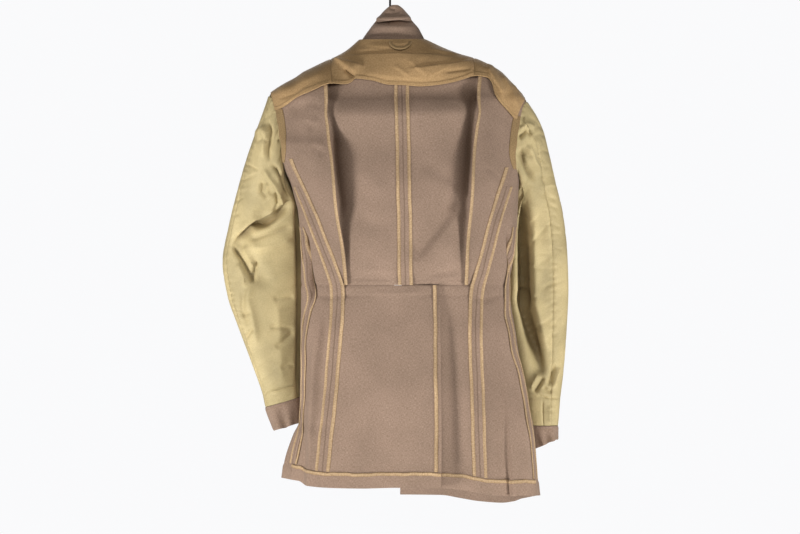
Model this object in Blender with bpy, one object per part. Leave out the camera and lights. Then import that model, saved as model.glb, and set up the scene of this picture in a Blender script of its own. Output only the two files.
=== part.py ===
"""Military service jacket, inside out and hung by its back on a hanger.

Sizes are millimetres from the hook's bearing point: x to the right, y away from the viewer, z up.
"""
import bmesh
import bpy
import numpy as np

MM = 0.001
WOOL = 2.0
COTTON = 1.2
TAPE = 1.0
LINING = 1.2
SEAM_GAP = 0.4
ARM_GAP = 0.7
LIE = 0.9
WAIST_BULK = 1.7
LAP = WOOL + 0.8
HEM_RISE = 1.2
BACK_POWER = 0.6
FRONT_POWER = 0.9
SLEEVE_POWER = 0.68
WAIST = -499.0
TAPE_TOP = -812.0
TAPE_LOW = -818.0
RIDGE = np.pi / 2


def smooth(xs, ys, at):
    """Curve through a table's points that never overshoots them."""
    step = np.diff(xs)
    slope = np.diff(ys) / step
    bend = np.zeros(len(xs))
    bend[0], bend[-1] = slope[0], slope[-1]
    product = slope[:-1] * slope[1:]
    total = np.where(product > 0, slope[:-1] + slope[1:], 1.0)
    bend[1:-1] = np.where(product > 0, 2.0 * product / total, 0.0)
    at = np.clip(at, xs[0], xs[-1])
    i = np.clip(np.searchsorted(xs, at) - 1, 0, len(step) - 1)
    t = (at - xs[i]) / step[i]
    value = ys[i] * (1 + 2 * t) * (1 - t) ** 2 + ys[i + 1] * t * t * (3 - 2 * t)
    return value + step[i] * (bend[i] * t * (1 - t) ** 2 - bend[i + 1] * t * t * (1 - t))


def fade(t):
    t = np.clip(t, 0.0, 1.0)
    return t * t * (3 - 2 * t)


class Table:
    """Rows of sizes with named columns; the first column is where each row stands."""

    def __init__(self, columns, rows):
        self.columns = columns.split()
        self.data = np.array(sorted(rows), float)

    def __call__(self, column, at):
        return smooth(self.data[:, 0], self.data[:, self.columns.index(column)], np.asarray(at, float))


# Torso rings: outline left and right, depth of the back and of the front
BODY = Table("level left right back front", (
    (-88, -49, 57, 44, 44),
    (-104, -67, 91, 54, 56),
    (-116, -84, 122, 61, 62),
    (-124, -97, 142, 66, 66),
    (-138, -126, 172, 73, 72),
    (-150, -151, 190, 78, 76),
    (-163, -176, 205, 83, 80),
    (-180, -203, 221, 88, 84),
    (-190, -204, 230, 90, 86),
    (-210, -203, 231, 89, 87),
    (-241, -200, 229, 91, 88),
    (-275, -190, 224, 95, 90),
    (-302, -180, 220, 98, 92),
    (-331, -167, 217, 100, 92),
    (-351, -161, 216, 100, 92),
    (-376, -155, 215, 99, 92),
    (-423, -151, 213, 95, 90),
    (-460, -150, 207, 89, 86),
    (-499, -150, 201, 84, 82),
    (-541, -150, 205, 87, 84),
    (-575, -151, 211, 92, 88),
    (-608, -151, 216, 96, 92),
    (-692, -152, 233, 104, 98),
    (-735, -153, 242, 107, 101),
    (-760, -163, 245, 108, 103),
    (-810, -178, 249, 110, 106),
    (-838, -182, 252, 111, 108)))

# Hem: how far the edge stands above its level, by degrees round from the centre back
HEM_LINE = Table("degrees shift", (
    (-200, 8), (-120, 10), (-90, 15), (-60, 11), (-53, 4), (-37, 1), (-23, 0.5), (-6, 2), (13, 1), (23, -2),
    (31, -7), (42, -12), (51, -12), (90, -15), (120, -24), (126, -29), (135, -32), (147, -30), (157, -25),
    (166, -20), (200, -19)))

# Seams: where each runs from side to side at a level
CENTRE = Table("level x", ((-88, 20), (-170, 20), (-323, 23), (-499, 26)))
PLEAT_LEFT = Table("level x", (
    (-120, -108), (-168, -104), (-205, -101), (-255, -96), (-314, -87), (-390, -79), (-449, -72), (-499, -69)))
PLEAT_RIGHT = Table("level x", (
    (-120, 149), (-161, 146), (-197, 143), (-239, 138), (-297, 133), (-373, 128), (-440, 124), (-499, 123)))
BACK_SEAM_LEFT = Table("level x", (
    (-262, -182), (-276, -176), (-299, -168), (-354, -144), (-415, -118), (-474, -95), (-507, -88), (-558, -90),
    (-611, -94), (-719, -104), (-808, -113), (-838, -116)))
BACK_SEAM_RIGHT = Table("level x", (
    (-262, 214), (-282, 210), (-316, 201), (-363, 185), (-385, 177), (-430, 165), (-470, 155), (-512, 145),
    (-568, 143), (-653, 145), (-741, 148), (-838, 151)))
SIDE_LEFT = Table("level x", (
    (-302, -177), (-348, -158), (-400, -148), (-450, -141), (-491, -135), (-516, -132), (-544, -137),
    (-575, -143), (-608, -145), (-692, -146), (-743, -149), (-810, -163), (-838, -166)))
SIDE_RIGHT = Table("level x", (
    (-319, 214), (-381, 210), (-440, 206), (-477, 199), (-507, 195), (-544, 197), (-575, 203), (-608, 208),
    (-642, 215), (-692, 225), (-751, 236), (-810, 242), (-838, 245)))
VENT = Table("level x", ((-499, 83), (-642, 84), (-759, 85), (-838, 84)))
FRONT_LEFT = Table("level x", ((-88, -46), (-140, -34), (-200, -18), (-330, 6), (-838, 8)))
FRONT_RIGHT = Table("level x", ((-88, 54), (-140, 60), (-200, 48), (-330, 22), (-838, 17)))

# Free pleat edges of the outer backs: how far they stand off, and the cloth that runs on beneath them
PLEAT = Table("level left right under ramp reach", (
    (-120, 0.3, 0.3, 30, 22, 40),
    (-150, 1.2, 1.2, 31, 22, 50),
    (-178, 5, 5, 32, 22, 55),
    (-204, 4.5, 8, 32, 22, 60),
    (-228, 4.6, 9, 32, 22, 60),
    (-272, 13, 12, 32, 22, 60),
    (-314, 20, 16, 30, 20, 60),
    (-345, 20, 18, 28, 19, 58),
    (-375, 17, 14, 26, 18, 54),
    (-410, 9, 7, 22, 16, 44),
    (-449, 3, 3, 17, 14, 32),
    (-480, 1, 1, 6, 8, 20),
    (-499, 0.4, 0.4, 2, 5, 14)))
VENT_UNDER = 30.0
VENT_RAMP = 26.0
VENT_LIFT = Table("level lift", ((-499, 0), (-560, 2), (-700, 6), (-838, 9)))

# Large folds of the skirt: a line from its top to the hem, how soft it is, and how far one side steps
STEPS = (
    {"top": (-128, -570), "foot": (-141, -838), "soft": 14, "depth": 22, "side": -1},
    {"top": (189, -590), "foot": (203, -838), "soft": 14, "depth": -12, "side": 1},
)
# Shallow rolls across the back where the hanger's arms push the cloth out: level, height, reach
ROLLS = ((-165, 4.2, 18), (-208, -4.5, 18), (-240, -2.5, 26))
ROLL_MIDDLE = 21.0
ROLL_HALF = 118.0

# Armholes: top and bottom level, and how far the edge lies in from the outline
ARMHOLES = {"left": (-180.0, -296.5, 13.5), "right": (-190.0, -313.0, 14.0)}

# Sleeves: outer and inner outline points of each section, near and far depth, and the middle's depth
SLEEVE_COLUMNS = "row out_x out_z in_x in_z near far middle"
SLEEVES = {
    "left": Table(SLEEVE_COLUMNS, (
        (0, -203, -180, -180, -302, 50, 38, 0),
        (1, -222, -230, -173, -326, 56, 46, 0),
        (2, -243, -289, -163, -351, 58, 48, 10),
        (3, -258, -339, -153, -376, 54, 46, 27),
        (4, -273, -398, -147, -415, 50, 44, 40),
        (5, -284, -460, -146, -460, 46, 40, 47),
        (6, -276, -516, -146, -516, 44, 40, 49),
        (7, -259, -566, -147, -566, 44, 40, 49),
        (8, -238, -622, -148, -622, 44, 40, 47),
        (9, -216, -684, -148, -672, 44, 40, 44),
        (10, -211, -706, -149, -688, 44, 40, 41),
        (11, -193, -744, -152, -731, 44, 42, 34))),
    "right": Table(SLEEVE_COLUMNS, (
        (0, 230, -190, 217, -319, 50, 38, 0),
        (1, 254, -225, 219, -339, 56, 46, 9),
        (2, 268, -272, 213, -365, 56, 48, 38),
        (3, 281, -326, 208, -398, 52, 44, 54),
        (4, 294, -381, 204, -432, 48, 40, 62),
        (5, 301, -444, 200, -470, 44, 38, 66),
        (6, 303, -507, 198, -521, 42, 38, 68),
        (7, 300, -575, 203, -575, 40, 38, 68),
        (8, 295, -642, 215, -633, 40, 38, 66),
        (9, 289, -692, 224, -684, 42, 40, 64),
        (10, 285, -738, 232, -738, 42, 42, 62),
        (11, 281, -761, 247, -776, 40, 40, 60))),
}
CUFF_ROW = 10.0
LAST_ROW = 11.0
# Seams of each sleeve, in degrees round from its outer edge: behind the arm and along the front
ARM_SEAMS = {"left": (26.0, 290.0), "right": (60.0, 290.0)}
# Large sleeve folds on the near side: ends in x and z, how wide, how deep
SLEEVE_FOLDS = {
    "left": (
        {"a": (-172, -362), "b": (-214, -388), "wide": 15, "deep": 9},
        {"a": (-214, -388), "b": (-252, -430), "wide": 14, "deep": 8},
        {"a": (-248, -440), "b": (-216, -488), "wide": 14, "deep": 6},
        {"a": (-196, -250), "b": (-204, -318), "wide": 14, "deep": 5},
    ),
    "right": (
        {"a": (226, -340), "b": (228, -524), "wide": 11, "deep": 9},
        {"a": (228, -524), "b": (249, -640), "wide": 11, "deep": 8},
        {"a": (262, -330), "b": (246, -420), "wide": 15, "deep": 4},
    ),
}

# Collar rings: outline left and right, depth of the back, where the middle lies, how far round it runs
COLLAR = Table("level left right back middle round", (
    (-88.7, -49, 60, 44, 0, 125),
    (-75, -40, 53, 38, -2, 122),
    (-66, -33, 48, 35, -3, 118),
    (-58, -27, 41, 30, -5, 114),
    (-52, -22, 36, 31, -6, 110),
    (-45, -17, 32, 27, -7, 104),
    (-39, -12, 27, 22, -8, 98),
    (-32, -4, 20, 13, -14, 90),
    (-27, 4, 12, 7, -18, 84)))

# Yoke lining: its free lower edge, and the folds across it
YOKE_EDGE = Table("x level", (
    (-204, -206), (-188, -205), (-151, -185), (-121, -175), (-96, -166), (-76, -165), (-64, -161), (-57, -155),
    (-30, -158), (-3, -165), (22, -166), (50, -168), (76, -166), (104, -161), (126, -155), (139, -152),
    (160, -155), (168, -164), (173, -182), (182, -194), (196, -208), (207, -220), (232, -226)))
YOKE_TOP = -93.0
YOKE_RISE = 2.8
YOKE_COLUMNS = (
    -97, -84, -72, -61, -53, -48, -44, -38, -26, -10, 6, 22, 36, 46, 51, 57, 66, 79, 94, 109, 124, 139)
YOKE_SEAMS = (-97.0, 139.0)
YOKE_FOLDS = (
    {"a": (-70, -110), "b": (150, -107), "wide": 11, "deep": -3.5},
    {"a": (-100, -130), "b": (-40, -140), "wide": 10, "deep": -3.5},
    {"a": (-30, -146), "b": (120, -146), "wide": 10, "deep": -3.0},
    {"a": (155, -128), "b": (203, -196), "wide": 11, "deep": -4.0},
    {"a": (-180, -176), "b": (-110, -156), "wide": 10, "deep": -3.0},
)
FACING_SPAN = {"left": (56.0, 158.0), "right": (63.0, 150.0)}
FACING_WIDE = Table("degrees wide", ((25, 10), (70, 13), (110, 12), (150, 6), (165, 5)))

# Hanger
WIRE = 1.75
HOOK_INSIDE = 17.0
BAR_THICK = 7.0
BAR_TALL = 13.0
BAR_MIDDLE_TOP = -101.0
BAR_CLEAR = 0.7


def middle_half(level):
    left = BODY("left", level)
    right = BODY("right", level)
    return (left + right) / 2, (right - left) / 2


def step_folds(x, level):
    """Depth of the large folds of the skirt and of the rolls under the yoke."""
    depth = np.zeros(np.broadcast(x, level).shape)
    for fold in STEPS:
        (x_top, z_top), (x_foot, z_foot) = fold["top"], fold["foot"]
        share = (level - z_top) / (z_foot - z_top)
        line = x_top + (x_foot - x_top) * np.clip(share, 0, 1)
        beyond = fade(fold["side"] * (x - line) / fold["soft"] + 0.5)
        depth = depth + fold["depth"] * fade(share) * beyond
    between = fade((ROLL_HALF - np.abs(x - ROLL_MIDDLE)) / 30 + 0.5)
    for place, height, reach in ROLLS:
        depth = depth + height * between * np.exp(-((level - place) / reach) ** 2)
    return depth


def body(theta, level):
    """Outside of the torso; theta is counted from the centre back, towards +x."""
    centre, half = middle_half(level)
    sine, cosine = np.sin(theta), np.cos(theta)
    x = centre + half * sine
    back = -BODY("back", level) * np.abs(cosine) ** BACK_POWER
    back = back + step_folds(x, level) * fade(cosine / 0.3)
    front = BODY("front", level) * np.abs(cosine) ** FRONT_POWER
    y = np.where(cosine >= 0, back, front)
    z = level + HEM_LINE("shift", np.degrees(theta)) * fade((-640 - level) / 198)
    return np.stack(np.broadcast_arrays(x, y, z), -1)


def outward(surface, u, v, du, dv):
    """Unit normals of a surface by small steps."""
    across = surface(u + du, v) - surface(u - du, v)
    along = surface(u, v + dv) - surface(u, v - dv)
    normal = np.cross(across, along)
    return normal / np.linalg.norm(normal, axis=-1, keepdims=True)


def on_body(theta, level, offset):
    return body(theta, level) + outward(body, theta, level, 0.01, 0.5) * np.asarray(offset)[..., None]


def theta_of(x, level):
    centre, half = middle_half(level)
    return np.arcsin(np.clip((x - centre) / half, -1, 1))


def nudge(theta, level, size):
    """Moves a seam line sideways by a size along the cloth."""
    half = middle_half(level)[1]
    return theta + size / (half * np.maximum(np.abs(np.cos(theta)), 0.35))


def arm_x(side, level):
    """Edge of an armhole at a level."""
    top, bottom, inset = ARMHOLES[side]
    rise = np.clip((level - (top + bottom) / 2) / ((top - bottom) / 2), -1, 1)
    inward = inset * np.sqrt(1 - rise ** 2)
    return BODY(side, level) + (inward if side == "left" else -inward)


def armhole(side, phi):
    """Armhole edge, from its top (0) by the back to its bottom (180 degrees) and up the front."""
    top, bottom, _ = ARMHOLES[side]
    level = (top + bottom) / 2 + (top - bottom) / 2 * np.cos(phi)
    theta = theta_of(arm_x(side, level), level)
    mirrored = (np.pi if side == "right" else -np.pi) - theta
    return body(np.where(np.sin(phi) >= 0, theta, mirrored), level)


def pleat_cover(distance, level, column):
    """How far an outer back stands off the torso, by its distance from the free edge."""
    flat = PLEAT("under", level) + 3
    base = LAP * (1 - fade((distance - flat) / PLEAT("ramp", level)))
    near = np.clip(1 - distance / PLEAT("reach", level), 0, 1)
    return base + PLEAT(column, level) * near ** 2


def vent_cover(distance, level):
    base = LAP * (1 - fade((distance - VENT_UNDER - 4) / VENT_RAMP))
    near = np.clip(1 - distance / 70, 0, 1)
    return base + VENT_LIFT("lift", level) * near ** 2


def cover(theta, level):
    """How far the uppermost wool stands off the torso's own surface on the back."""
    centre, half = middle_half(level)
    x = centre + half * np.sin(theta)
    left = PLEAT_LEFT("x", level) - x
    right = x - PLEAT_RIGHT("x", level)
    vent = VENT("x", level) - x
    above = np.where(left > 0, pleat_cover(left, level, "left"), 0.0)
    above = np.where(right > 0, pleat_cover(right, level, "right"), above)
    below = np.where(vent > 0, vent_cover(vent, level), 0.0)
    rise = np.where(level < (TAPE_TOP + TAPE_LOW) / 2, HEM_RISE, 0.0)
    return np.where(level > WAIST, above, below) + rise


def yoke_cover(theta, level):
    """The same for the yoke, eased down from the pleat edges towards the middle."""
    centre, half = middle_half(level)
    x = centre + half * np.sin(theta)
    left = PLEAT_LEFT("x", level) - x
    right = x - PLEAT_RIGHT("x", level)
    cover_left = pleat_cover(np.maximum(left, 0), level, "left") * (1 - fade(-left / 40))
    cover_right = pleat_cover(np.maximum(right, 0), level, "right") * (1 - fade(-right / 40))
    return np.maximum(cover_left, cover_right)


def crease(folds, x, z):
    """Summed depth of soft folds, each along a line between two points."""
    depth = np.zeros(np.broadcast(x, z).shape)
    for fold in folds:
        ax, az = fold["a"]
        bx, bz = fold["b"]
        length = np.hypot(bx - ax, bz - az)
        along = ((x - ax) * (bx - ax) + (z - az) * (bz - az)) / length ** 2
        aside = ((x - ax) * (bz - az) - (z - az) * (bx - ax)) / length
        past = np.maximum(np.maximum(-along, along - 1), 0) * length
        depth = depth + fold["deep"] * np.exp(-(aside ** 2 + past ** 2) / fold["wide"] ** 2)
    return depth


def sleeve(side):
    """Surface of a sleeve by degrees round from its outer edge and row down the arm."""
    table = SLEEVES[side]

    def surface(phi, row):
        out_x, out_z = table("out_x", row), table("out_z", row)
        in_x, in_z = table("in_x", row), table("in_z", row)
        cosine, sine = np.cos(phi), np.sin(phi)
        x = (out_x + in_x) / 2 + (out_x - in_x) / 2 * cosine
        z = (out_z + in_z) / 2 + (out_z - in_z) / 2 * cosine
        depth = np.where(sine >= 0, table("near", row), table("far", row))
        flat = np.where(sine >= 0, SLEEVE_POWER, 1.0)
        y = table("middle", row) - depth * np.sign(sine) * np.abs(sine) ** flat
        near = fade(sine / 0.35)
        y = y + crease(SLEEVE_FOLDS[side], x, z) * near * fade(row / 1.5)
        section = np.stack(np.broadcast_arrays(x, y, z), -1)
        edge = armhole(side, phi)
        crown = np.clip(cosine, 0, 1) ** 2
        aside = ARM_GAP + 1.4 * crown
        edge[..., 0] += -aside if side == "left" else aside
        edge[..., 2] -= 1.4 * crown
        blend = fade(row / 1.5)[..., None]
        return edge * (1 - blend) + section * blend

    return surface


def on_sleeve(side, phi, row, offset):
    surface = sleeve(side)
    point = surface(phi, row)
    normal = outward(surface, phi, row, 0.02, 0.03)
    if side == "left":
        normal = -normal
    return point + normal * offset


def collar(theta, level):
    left, right = COLLAR("left", level), COLLAR("right", level)
    x = (left + right) / 2 + (right - left) / 2 * np.sin(theta)
    cosine = np.cos(theta)
    power = BACK_POWER + (1 - BACK_POWER) * fade((level + 88.7) / 25)
    y = COLLAR("middle", level) - COLLAR("back", level) * np.sign(cosine) * np.abs(cosine) ** power
    return np.stack(np.broadcast_arrays(x, y, level), -1)


def show(name, points, faces, colour, roughness=0.9):
    """Makes one closed piece with its own material."""
    mesh = bpy.data.meshes.new(name)
    mesh.from_pydata([tuple(p) for p in np.asarray(points) * MM], [], faces)
    form = bmesh.new()
    form.from_mesh(mesh)
    bmesh.ops.recalc_face_normals(form, faces=form.faces)
    form.to_mesh(mesh)
    form.free()
    material = bpy.data.materials.new(name + "_material")
    material.use_nodes = True
    shader = material.node_tree.nodes["Principled BSDF"]
    shader.inputs["Base Color"].default_value = (*colour, 1.0)
    shader.inputs["Roughness"].default_value = roughness
    mesh.materials.append(material)
    piece = bpy.data.objects.new(name, mesh)
    bpy.context.scene.collection.objects.link(piece)
    return piece


def wall(name, outer, inner, colour, ring=False):
    """A thin wall between two grids of points; a ring closes on itself round its columns."""
    rows, columns = outer.shape[:2]
    count = rows * columns
    last = columns if ring else columns - 1
    faces = []

    def at(r, c, side):
        return side * count + r * columns + c % columns

    for r in range(rows - 1):
        for c in range(last):
            faces.append((at(r, c, 0), at(r, c + 1, 0), at(r + 1, c + 1, 0), at(r + 1, c, 0)))
            faces.append((at(r, c, 1), at(r + 1, c, 1), at(r + 1, c + 1, 1), at(r, c + 1, 1)))
    for c in range(last):
        for r in (0, rows - 1):
            faces.append((at(r, c, 0), at(r, c, 1), at(r, c + 1, 1), at(r, c + 1, 0)))
    if not ring:
        for r in range(rows - 1):
            for c in (0, columns - 1):
                faces.append((at(r, c, 0), at(r + 1, c, 0), at(r + 1, c, 1), at(r, c, 1)))
    points = np.concatenate([outer.reshape(-1, 3), inner.reshape(-1, 3)])
    return show(name, points, faces, colour)


def rod(name, rings, colour, roughness):
    """A solid through closed rings of points, capped at both ends."""
    rings = np.asarray(rings)
    rows, columns = rings.shape[:2]
    faces = [tuple(range(columns)), tuple((rows - 1) * columns + c for c in range(columns))]
    for r in range(rows - 1):
        for c in range(columns):
            d = (c + 1) % columns
            faces.append((r * columns + c, r * columns + d, (r + 1) * columns + d, (r + 1) * columns + c))
    return show(name, rings.reshape(-1, 3), faces, colour, roughness)


WOOL_COLOUR = (0.33, 0.25, 0.19)
YOKE_COLOUR = (0.45, 0.29, 0.14)
SATEEN_COLOUR = (0.62, 0.50, 0.28)
TAPE_COLOUR = (0.60, 0.43, 0.30)
FACING_COLOUR = (0.40, 0.26, 0.13)
WIRE_COLOUR = (0.02, 0.02, 0.02)
BAR_COLOUR = (0.35, 0.22, 0.12)

UPPER_LEVELS = (
    -89.4, -96, -104, -113, -124, -138, -152, -168, -179.6, -189.6, -204, -224, -246, -272, -287, -302, -320,
    -334, -368, -402, -436, -468, -498.8)
LOWER_LEVELS = (-499.2, -528, -560, -608, -652, -694, -736, -774, -811, -819, -838)
ALL_LEVELS = UPPER_LEVELS[:-1] + (-499.0,) + LOWER_LEVELS[1:]


def below(levels, top):
    return [level for level in levels if level <= top]


def seam(table, size=0.0):
    """A seam's angle at a level, set aside by half a seam gap."""
    return lambda level: nudge(theta_of(table("x", level), level), level, size)


def panel(name, levels, left, right, columns, stand_off=None):
    """A wool panel between two edges of the torso."""
    level = np.array(levels, float)[:, None]
    share = np.linspace(0, 1, columns + 1)[None, :]
    theta = left(level) * (1 - share) + right(level) * share
    level = np.broadcast_to(level, theta.shape)
    lift = np.where(level < (TAPE_TOP + TAPE_LOW) / 2, HEM_RISE, 0.0)
    if stand_off is not None:
        lift = lift + stand_off(theta, level)
    outer = on_body(theta, level, lift)
    base = lift - np.where(level < (TAPE_TOP + TAPE_LOW) / 2, HEM_RISE, 0.0)
    wall(name, outer, on_body(theta, level, base - WOOL), WOOL_COLOUR)


def stand_off_of(table, kind):
    """Distance-based stand-off of a lapping panel from its free edge."""
    def value(theta, level):
        centre, half = middle_half(level)
        x = centre + half * np.sin(theta)
        edge = table("x", level)
        if kind == "vent":
            return vent_cover(np.maximum(edge - x, 0), level)
        distance = edge - x if kind == "left" else x - edge
        return pleat_cover(np.maximum(distance, 0), level, kind)
    return value


def cloth_speed(theta, level):
    """Size along the cloth for each radian round the back."""
    half = middle_half(level)[1]
    cosine = np.maximum(np.cos(theta), 0.05)
    across = half * cosine
    into = BODY("back", level) * BACK_POWER * cosine ** (BACK_POWER - 1) * np.abs(np.sin(theta))
    return np.maximum(across, 0.8 * np.hypot(across, into))


def strip(name, levels, table, start, end, columns, thick, colour, curl=0.0):
    """A strip that lies on the panels along a seam, between two distances from it."""
    level = np.array(levels, float)[:, None]
    aside = np.linspace(start, end, columns + 1)[None, :]
    theta = theta_of(table("x", level), level)
    theta = theta + aside / cloth_speed(theta, level)
    level = np.broadcast_to(level, theta.shape)
    crossing = WAIST_BULK * np.exp(-((level - WAIST) / 28) ** 2)
    base = LIE + crossing + curl * (aside / 10) ** 2 + cover(theta, level)
    outer = on_body(theta, level, base + thick)
    wall(name, outer, on_body(theta, level, base), colour)


def back_panels():
    half_gap = SEAM_GAP / 2

    def under_left(level):
        x = PLEAT_LEFT("x", level) - PLEAT("under", level)
        return nudge(theta_of(np.maximum(BODY("left", level), x), level), level, half_gap)

    def under_right(level):
        x = PLEAT_RIGHT("x", level) + PLEAT("under", level)
        return nudge(theta_of(np.minimum(BODY("right", level), x), level), level, -half_gap)

    def outer_left(level):
        top = ARMHOLES["left"][0]
        x = np.where(level > top, BODY("left", level), arm_x("left", level))
        x = np.where(level < -255, np.maximum(x, BACK_SEAM_LEFT("x", level)), x)
        return nudge(theta_of(x, level), level, half_gap + 0.2)

    def outer_right(level):
        top = ARMHOLES["right"][0]
        x = np.where(level > top, BODY("right", level), arm_x("right", level))
        x = np.where(level < -255, np.minimum(x, BACK_SEAM_RIGHT("x", level)), x)
        return nudge(theta_of(x, level), level, -half_gap - 0.2)

    panel("back_upper_left", UPPER_LEVELS, under_left, seam(CENTRE, -half_gap), 8)
    panel("back_upper_right", UPPER_LEVELS, seam(CENTRE, half_gap), under_right, 8)
    outer_levels = below(UPPER_LEVELS, -138)
    panel("back_outer_left", outer_levels, outer_left, seam(PLEAT_LEFT), 7, stand_off_of(PLEAT_LEFT, "left"))
    panel("back_outer_right", outer_levels, seam(PLEAT_RIGHT), outer_right, 7,
          stand_off_of(PLEAT_RIGHT, "right"))
    panel("skirt_back_left", LOWER_LEVELS, seam(BACK_SEAM_LEFT, half_gap), seam(VENT), 9,
          stand_off_of(VENT, "vent"))

    def vent_under(level):
        return theta_of(VENT("x", level) - VENT_UNDER, level)

    panel("skirt_back_right", LOWER_LEVELS, vent_under, seam(BACK_SEAM_RIGHT, -half_gap), 6)


def side_panels():
    half_gap = SEAM_GAP / 2

    def side_left(level):
        bottom = ARMHOLES["left"][1]
        x = np.where(level > bottom, arm_x("left", level), SIDE_LEFT("x", level))
        return nudge(theta_of(x, level), level, half_gap + 0.2)

    def side_right(level):
        bottom = ARMHOLES["right"][1]
        x = np.where(level > bottom, arm_x("right", level), SIDE_RIGHT("x", level))
        return nudge(theta_of(x, level), level, -half_gap - 0.2)

    panel("side_left", below(ALL_LEVELS, -272), side_left, seam(BACK_SEAM_LEFT, -half_gap), 8)
    panel("side_right", below(ALL_LEVELS, -287), seam(BACK_SEAM_RIGHT, half_gap), side_right, 10)


def front_panels():
    """Plain fronts on the hidden side, open at the neck and down the middle."""
    half_gap = SEAM_GAP / 2
    levels = ALL_LEVELS
    sides = (("left", FRONT_LEFT, SIDE_LEFT, -1), ("right", FRONT_RIGHT, SIDE_RIGHT, 1))
    for side, edge, side_seam, sign in sides:
        top, bottom, _ = ARMHOLES[side]

        def outer_edge(level, side=side, side_seam=side_seam, sign=sign, top=top, bottom=bottom):
            arm = sign * np.pi - theta_of(arm_x(side, level), level)
            sewn = nudge(theta_of(side_seam("x", level), level), level, sign * (half_gap + 0.2))
            ridge = np.full_like(level, sign * RIDGE)
            theta = np.where(level > top, ridge, np.where(level > bottom, arm, sewn))
            return np.where(level > bottom, theta + sign * 0.012, theta)

        def front_edge(level, edge=edge, sign=sign):
            return sign * np.pi - theta_of(edge("x", level), level)

        panel("front_" + side, levels, front_edge, outer_edge, 7)


def yoke():
    """Cotton lining over the shoulders, free along its lower edge."""
    ridge = {side: (BODY.data[:, 0], BODY.data[:, BODY.columns.index(side)]) for side in ("left", "right")}

    def ridge_level(x):
        left_levels, left_x = ridge["left"]
        right_levels, right_x = ridge["right"]
        sloped = left_levels >= -190
        left = np.interp(-x, -left_x[sloped][::-1], left_levels[sloped][::-1])
        right = np.interp(x, right_x[sloped][::-1], right_levels[sloped][::-1])
        return np.minimum(np.where(x < 4, left, right) - 0.2, YOKE_TOP)

    lower, upper = YOKE_SEAMS
    pieces = (("yoke_left", (-202, -192), (lower - 0.3, lower - 0.3), np.arange(8)),
              ("yoke_centre", (lower, lower), (upper, upper), np.array(YOKE_COLUMNS)),
              ("yoke_right", (upper + 0.3, upper + 0.3), (228, 209), np.arange(8)))
    for name, start, end, columns in pieces:
        share = (columns - columns[0]) / (columns[-1] - columns[0])
        down = np.linspace(0, 1, 10)[:, None] ** 2
        left = start[0] * (1 - down) + start[1] * down
        right = end[0] * (1 - down) + end[1] * down
        x = left * (1 - share) + right * share
        level = ridge_level(x) * (1 - down) + YOKE_EDGE("level", x) * down
        theta = theta_of(x, level)
        on_ridge = (down == 0) & (level < YOKE_TOP)
        theta = np.where(on_ridge, np.sign(x - 4) * (RIDGE - 0.02), theta)
        rise = yoke_cover(theta, level) + YOKE_RISE - crease(YOKE_FOLDS, x, level) * fade(down / 0.15)
        wall(name, on_body(theta, level, rise + COTTON), on_body(theta, level, rise), YOKE_COLOUR)


def facings():
    for side, sign in (("left", 1), ("right", -1)):
        top, bottom, _ = ARMHOLES[side]
        degrees = np.linspace(*FACING_SPAN[side], 12)[:, None]
        level = (top + bottom) / 2 + (top - bottom) / 2 * np.cos(np.radians(degrees))
        share = np.linspace(0, 1, 4)[None, :]
        aside = 1.5 + (FACING_WIDE("wide", degrees) - 1.5) * share
        theta = theta_of(arm_x(side, level) + sign * aside, level)
        level = np.broadcast_to(level, theta.shape)
        base = cover(theta, level) + LIE
        wall("armhole_facing_" + side, on_body(theta, level, base + COTTON), on_body(theta, level, base),
             FACING_COLOUR)


def sleeves():
    rows = np.array((0, 0.5, 1, 1.5, 2, 2.5, 3, 3.5, 4, 4.5, 5, 5.5, 6.2, 7, 8, 9, CUFF_ROW - 0.03))
    cuff_rows = np.array((CUFF_ROW + 0.0, CUFF_ROW + 0.35, CUFF_ROW + 0.7, LAST_ROW))
    for side in ("left", "right"):
        behind, front = ARM_SEAMS[side]
        spans = (("sleeve_under_" + side, behind + 0.3, front - 0.3, 12),
                 ("sleeve_top_" + side, front + 0.3, behind + 359.7, 6))
        for name, start, end, columns in spans:
            phi = np.radians(np.linspace(start, end, columns + 1))[None, :]
            row = rows[:, None]
            phi, row = np.broadcast_arrays(phi, row)
            wall(name, on_sleeve(side, phi, row, 0.0), on_sleeve(side, phi, row, -LINING), SATEEN_COLOUR)
        phi = np.radians(np.arange(0, 360, 18.0))[None, :]
        phi, row = np.broadcast_arrays(phi, cuff_rows[:, None])
        inside = on_sleeve(side, phi, row, 0.3 - WOOL)
        wall("cuff_" + side, on_sleeve(side, phi, row, 0.3), inside, WOOL_COLOUR, ring=True)


def collar_wall():
    level = np.array((-88.7, -82, -75, -69, -63, -57.5, -52, -45, -39, -33, -28))[:, None]
    share = np.linspace(-1, 1, 19)[None, :]
    theta = np.radians(COLLAR("round", level)) * share
    level = np.broadcast_to(level, theta.shape)
    normal = outward(collar, theta, level, 0.01, 0.2)
    point = collar(theta, level)
    wall("collar", point, point - normal * WOOL, WOOL_COLOUR)


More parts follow.
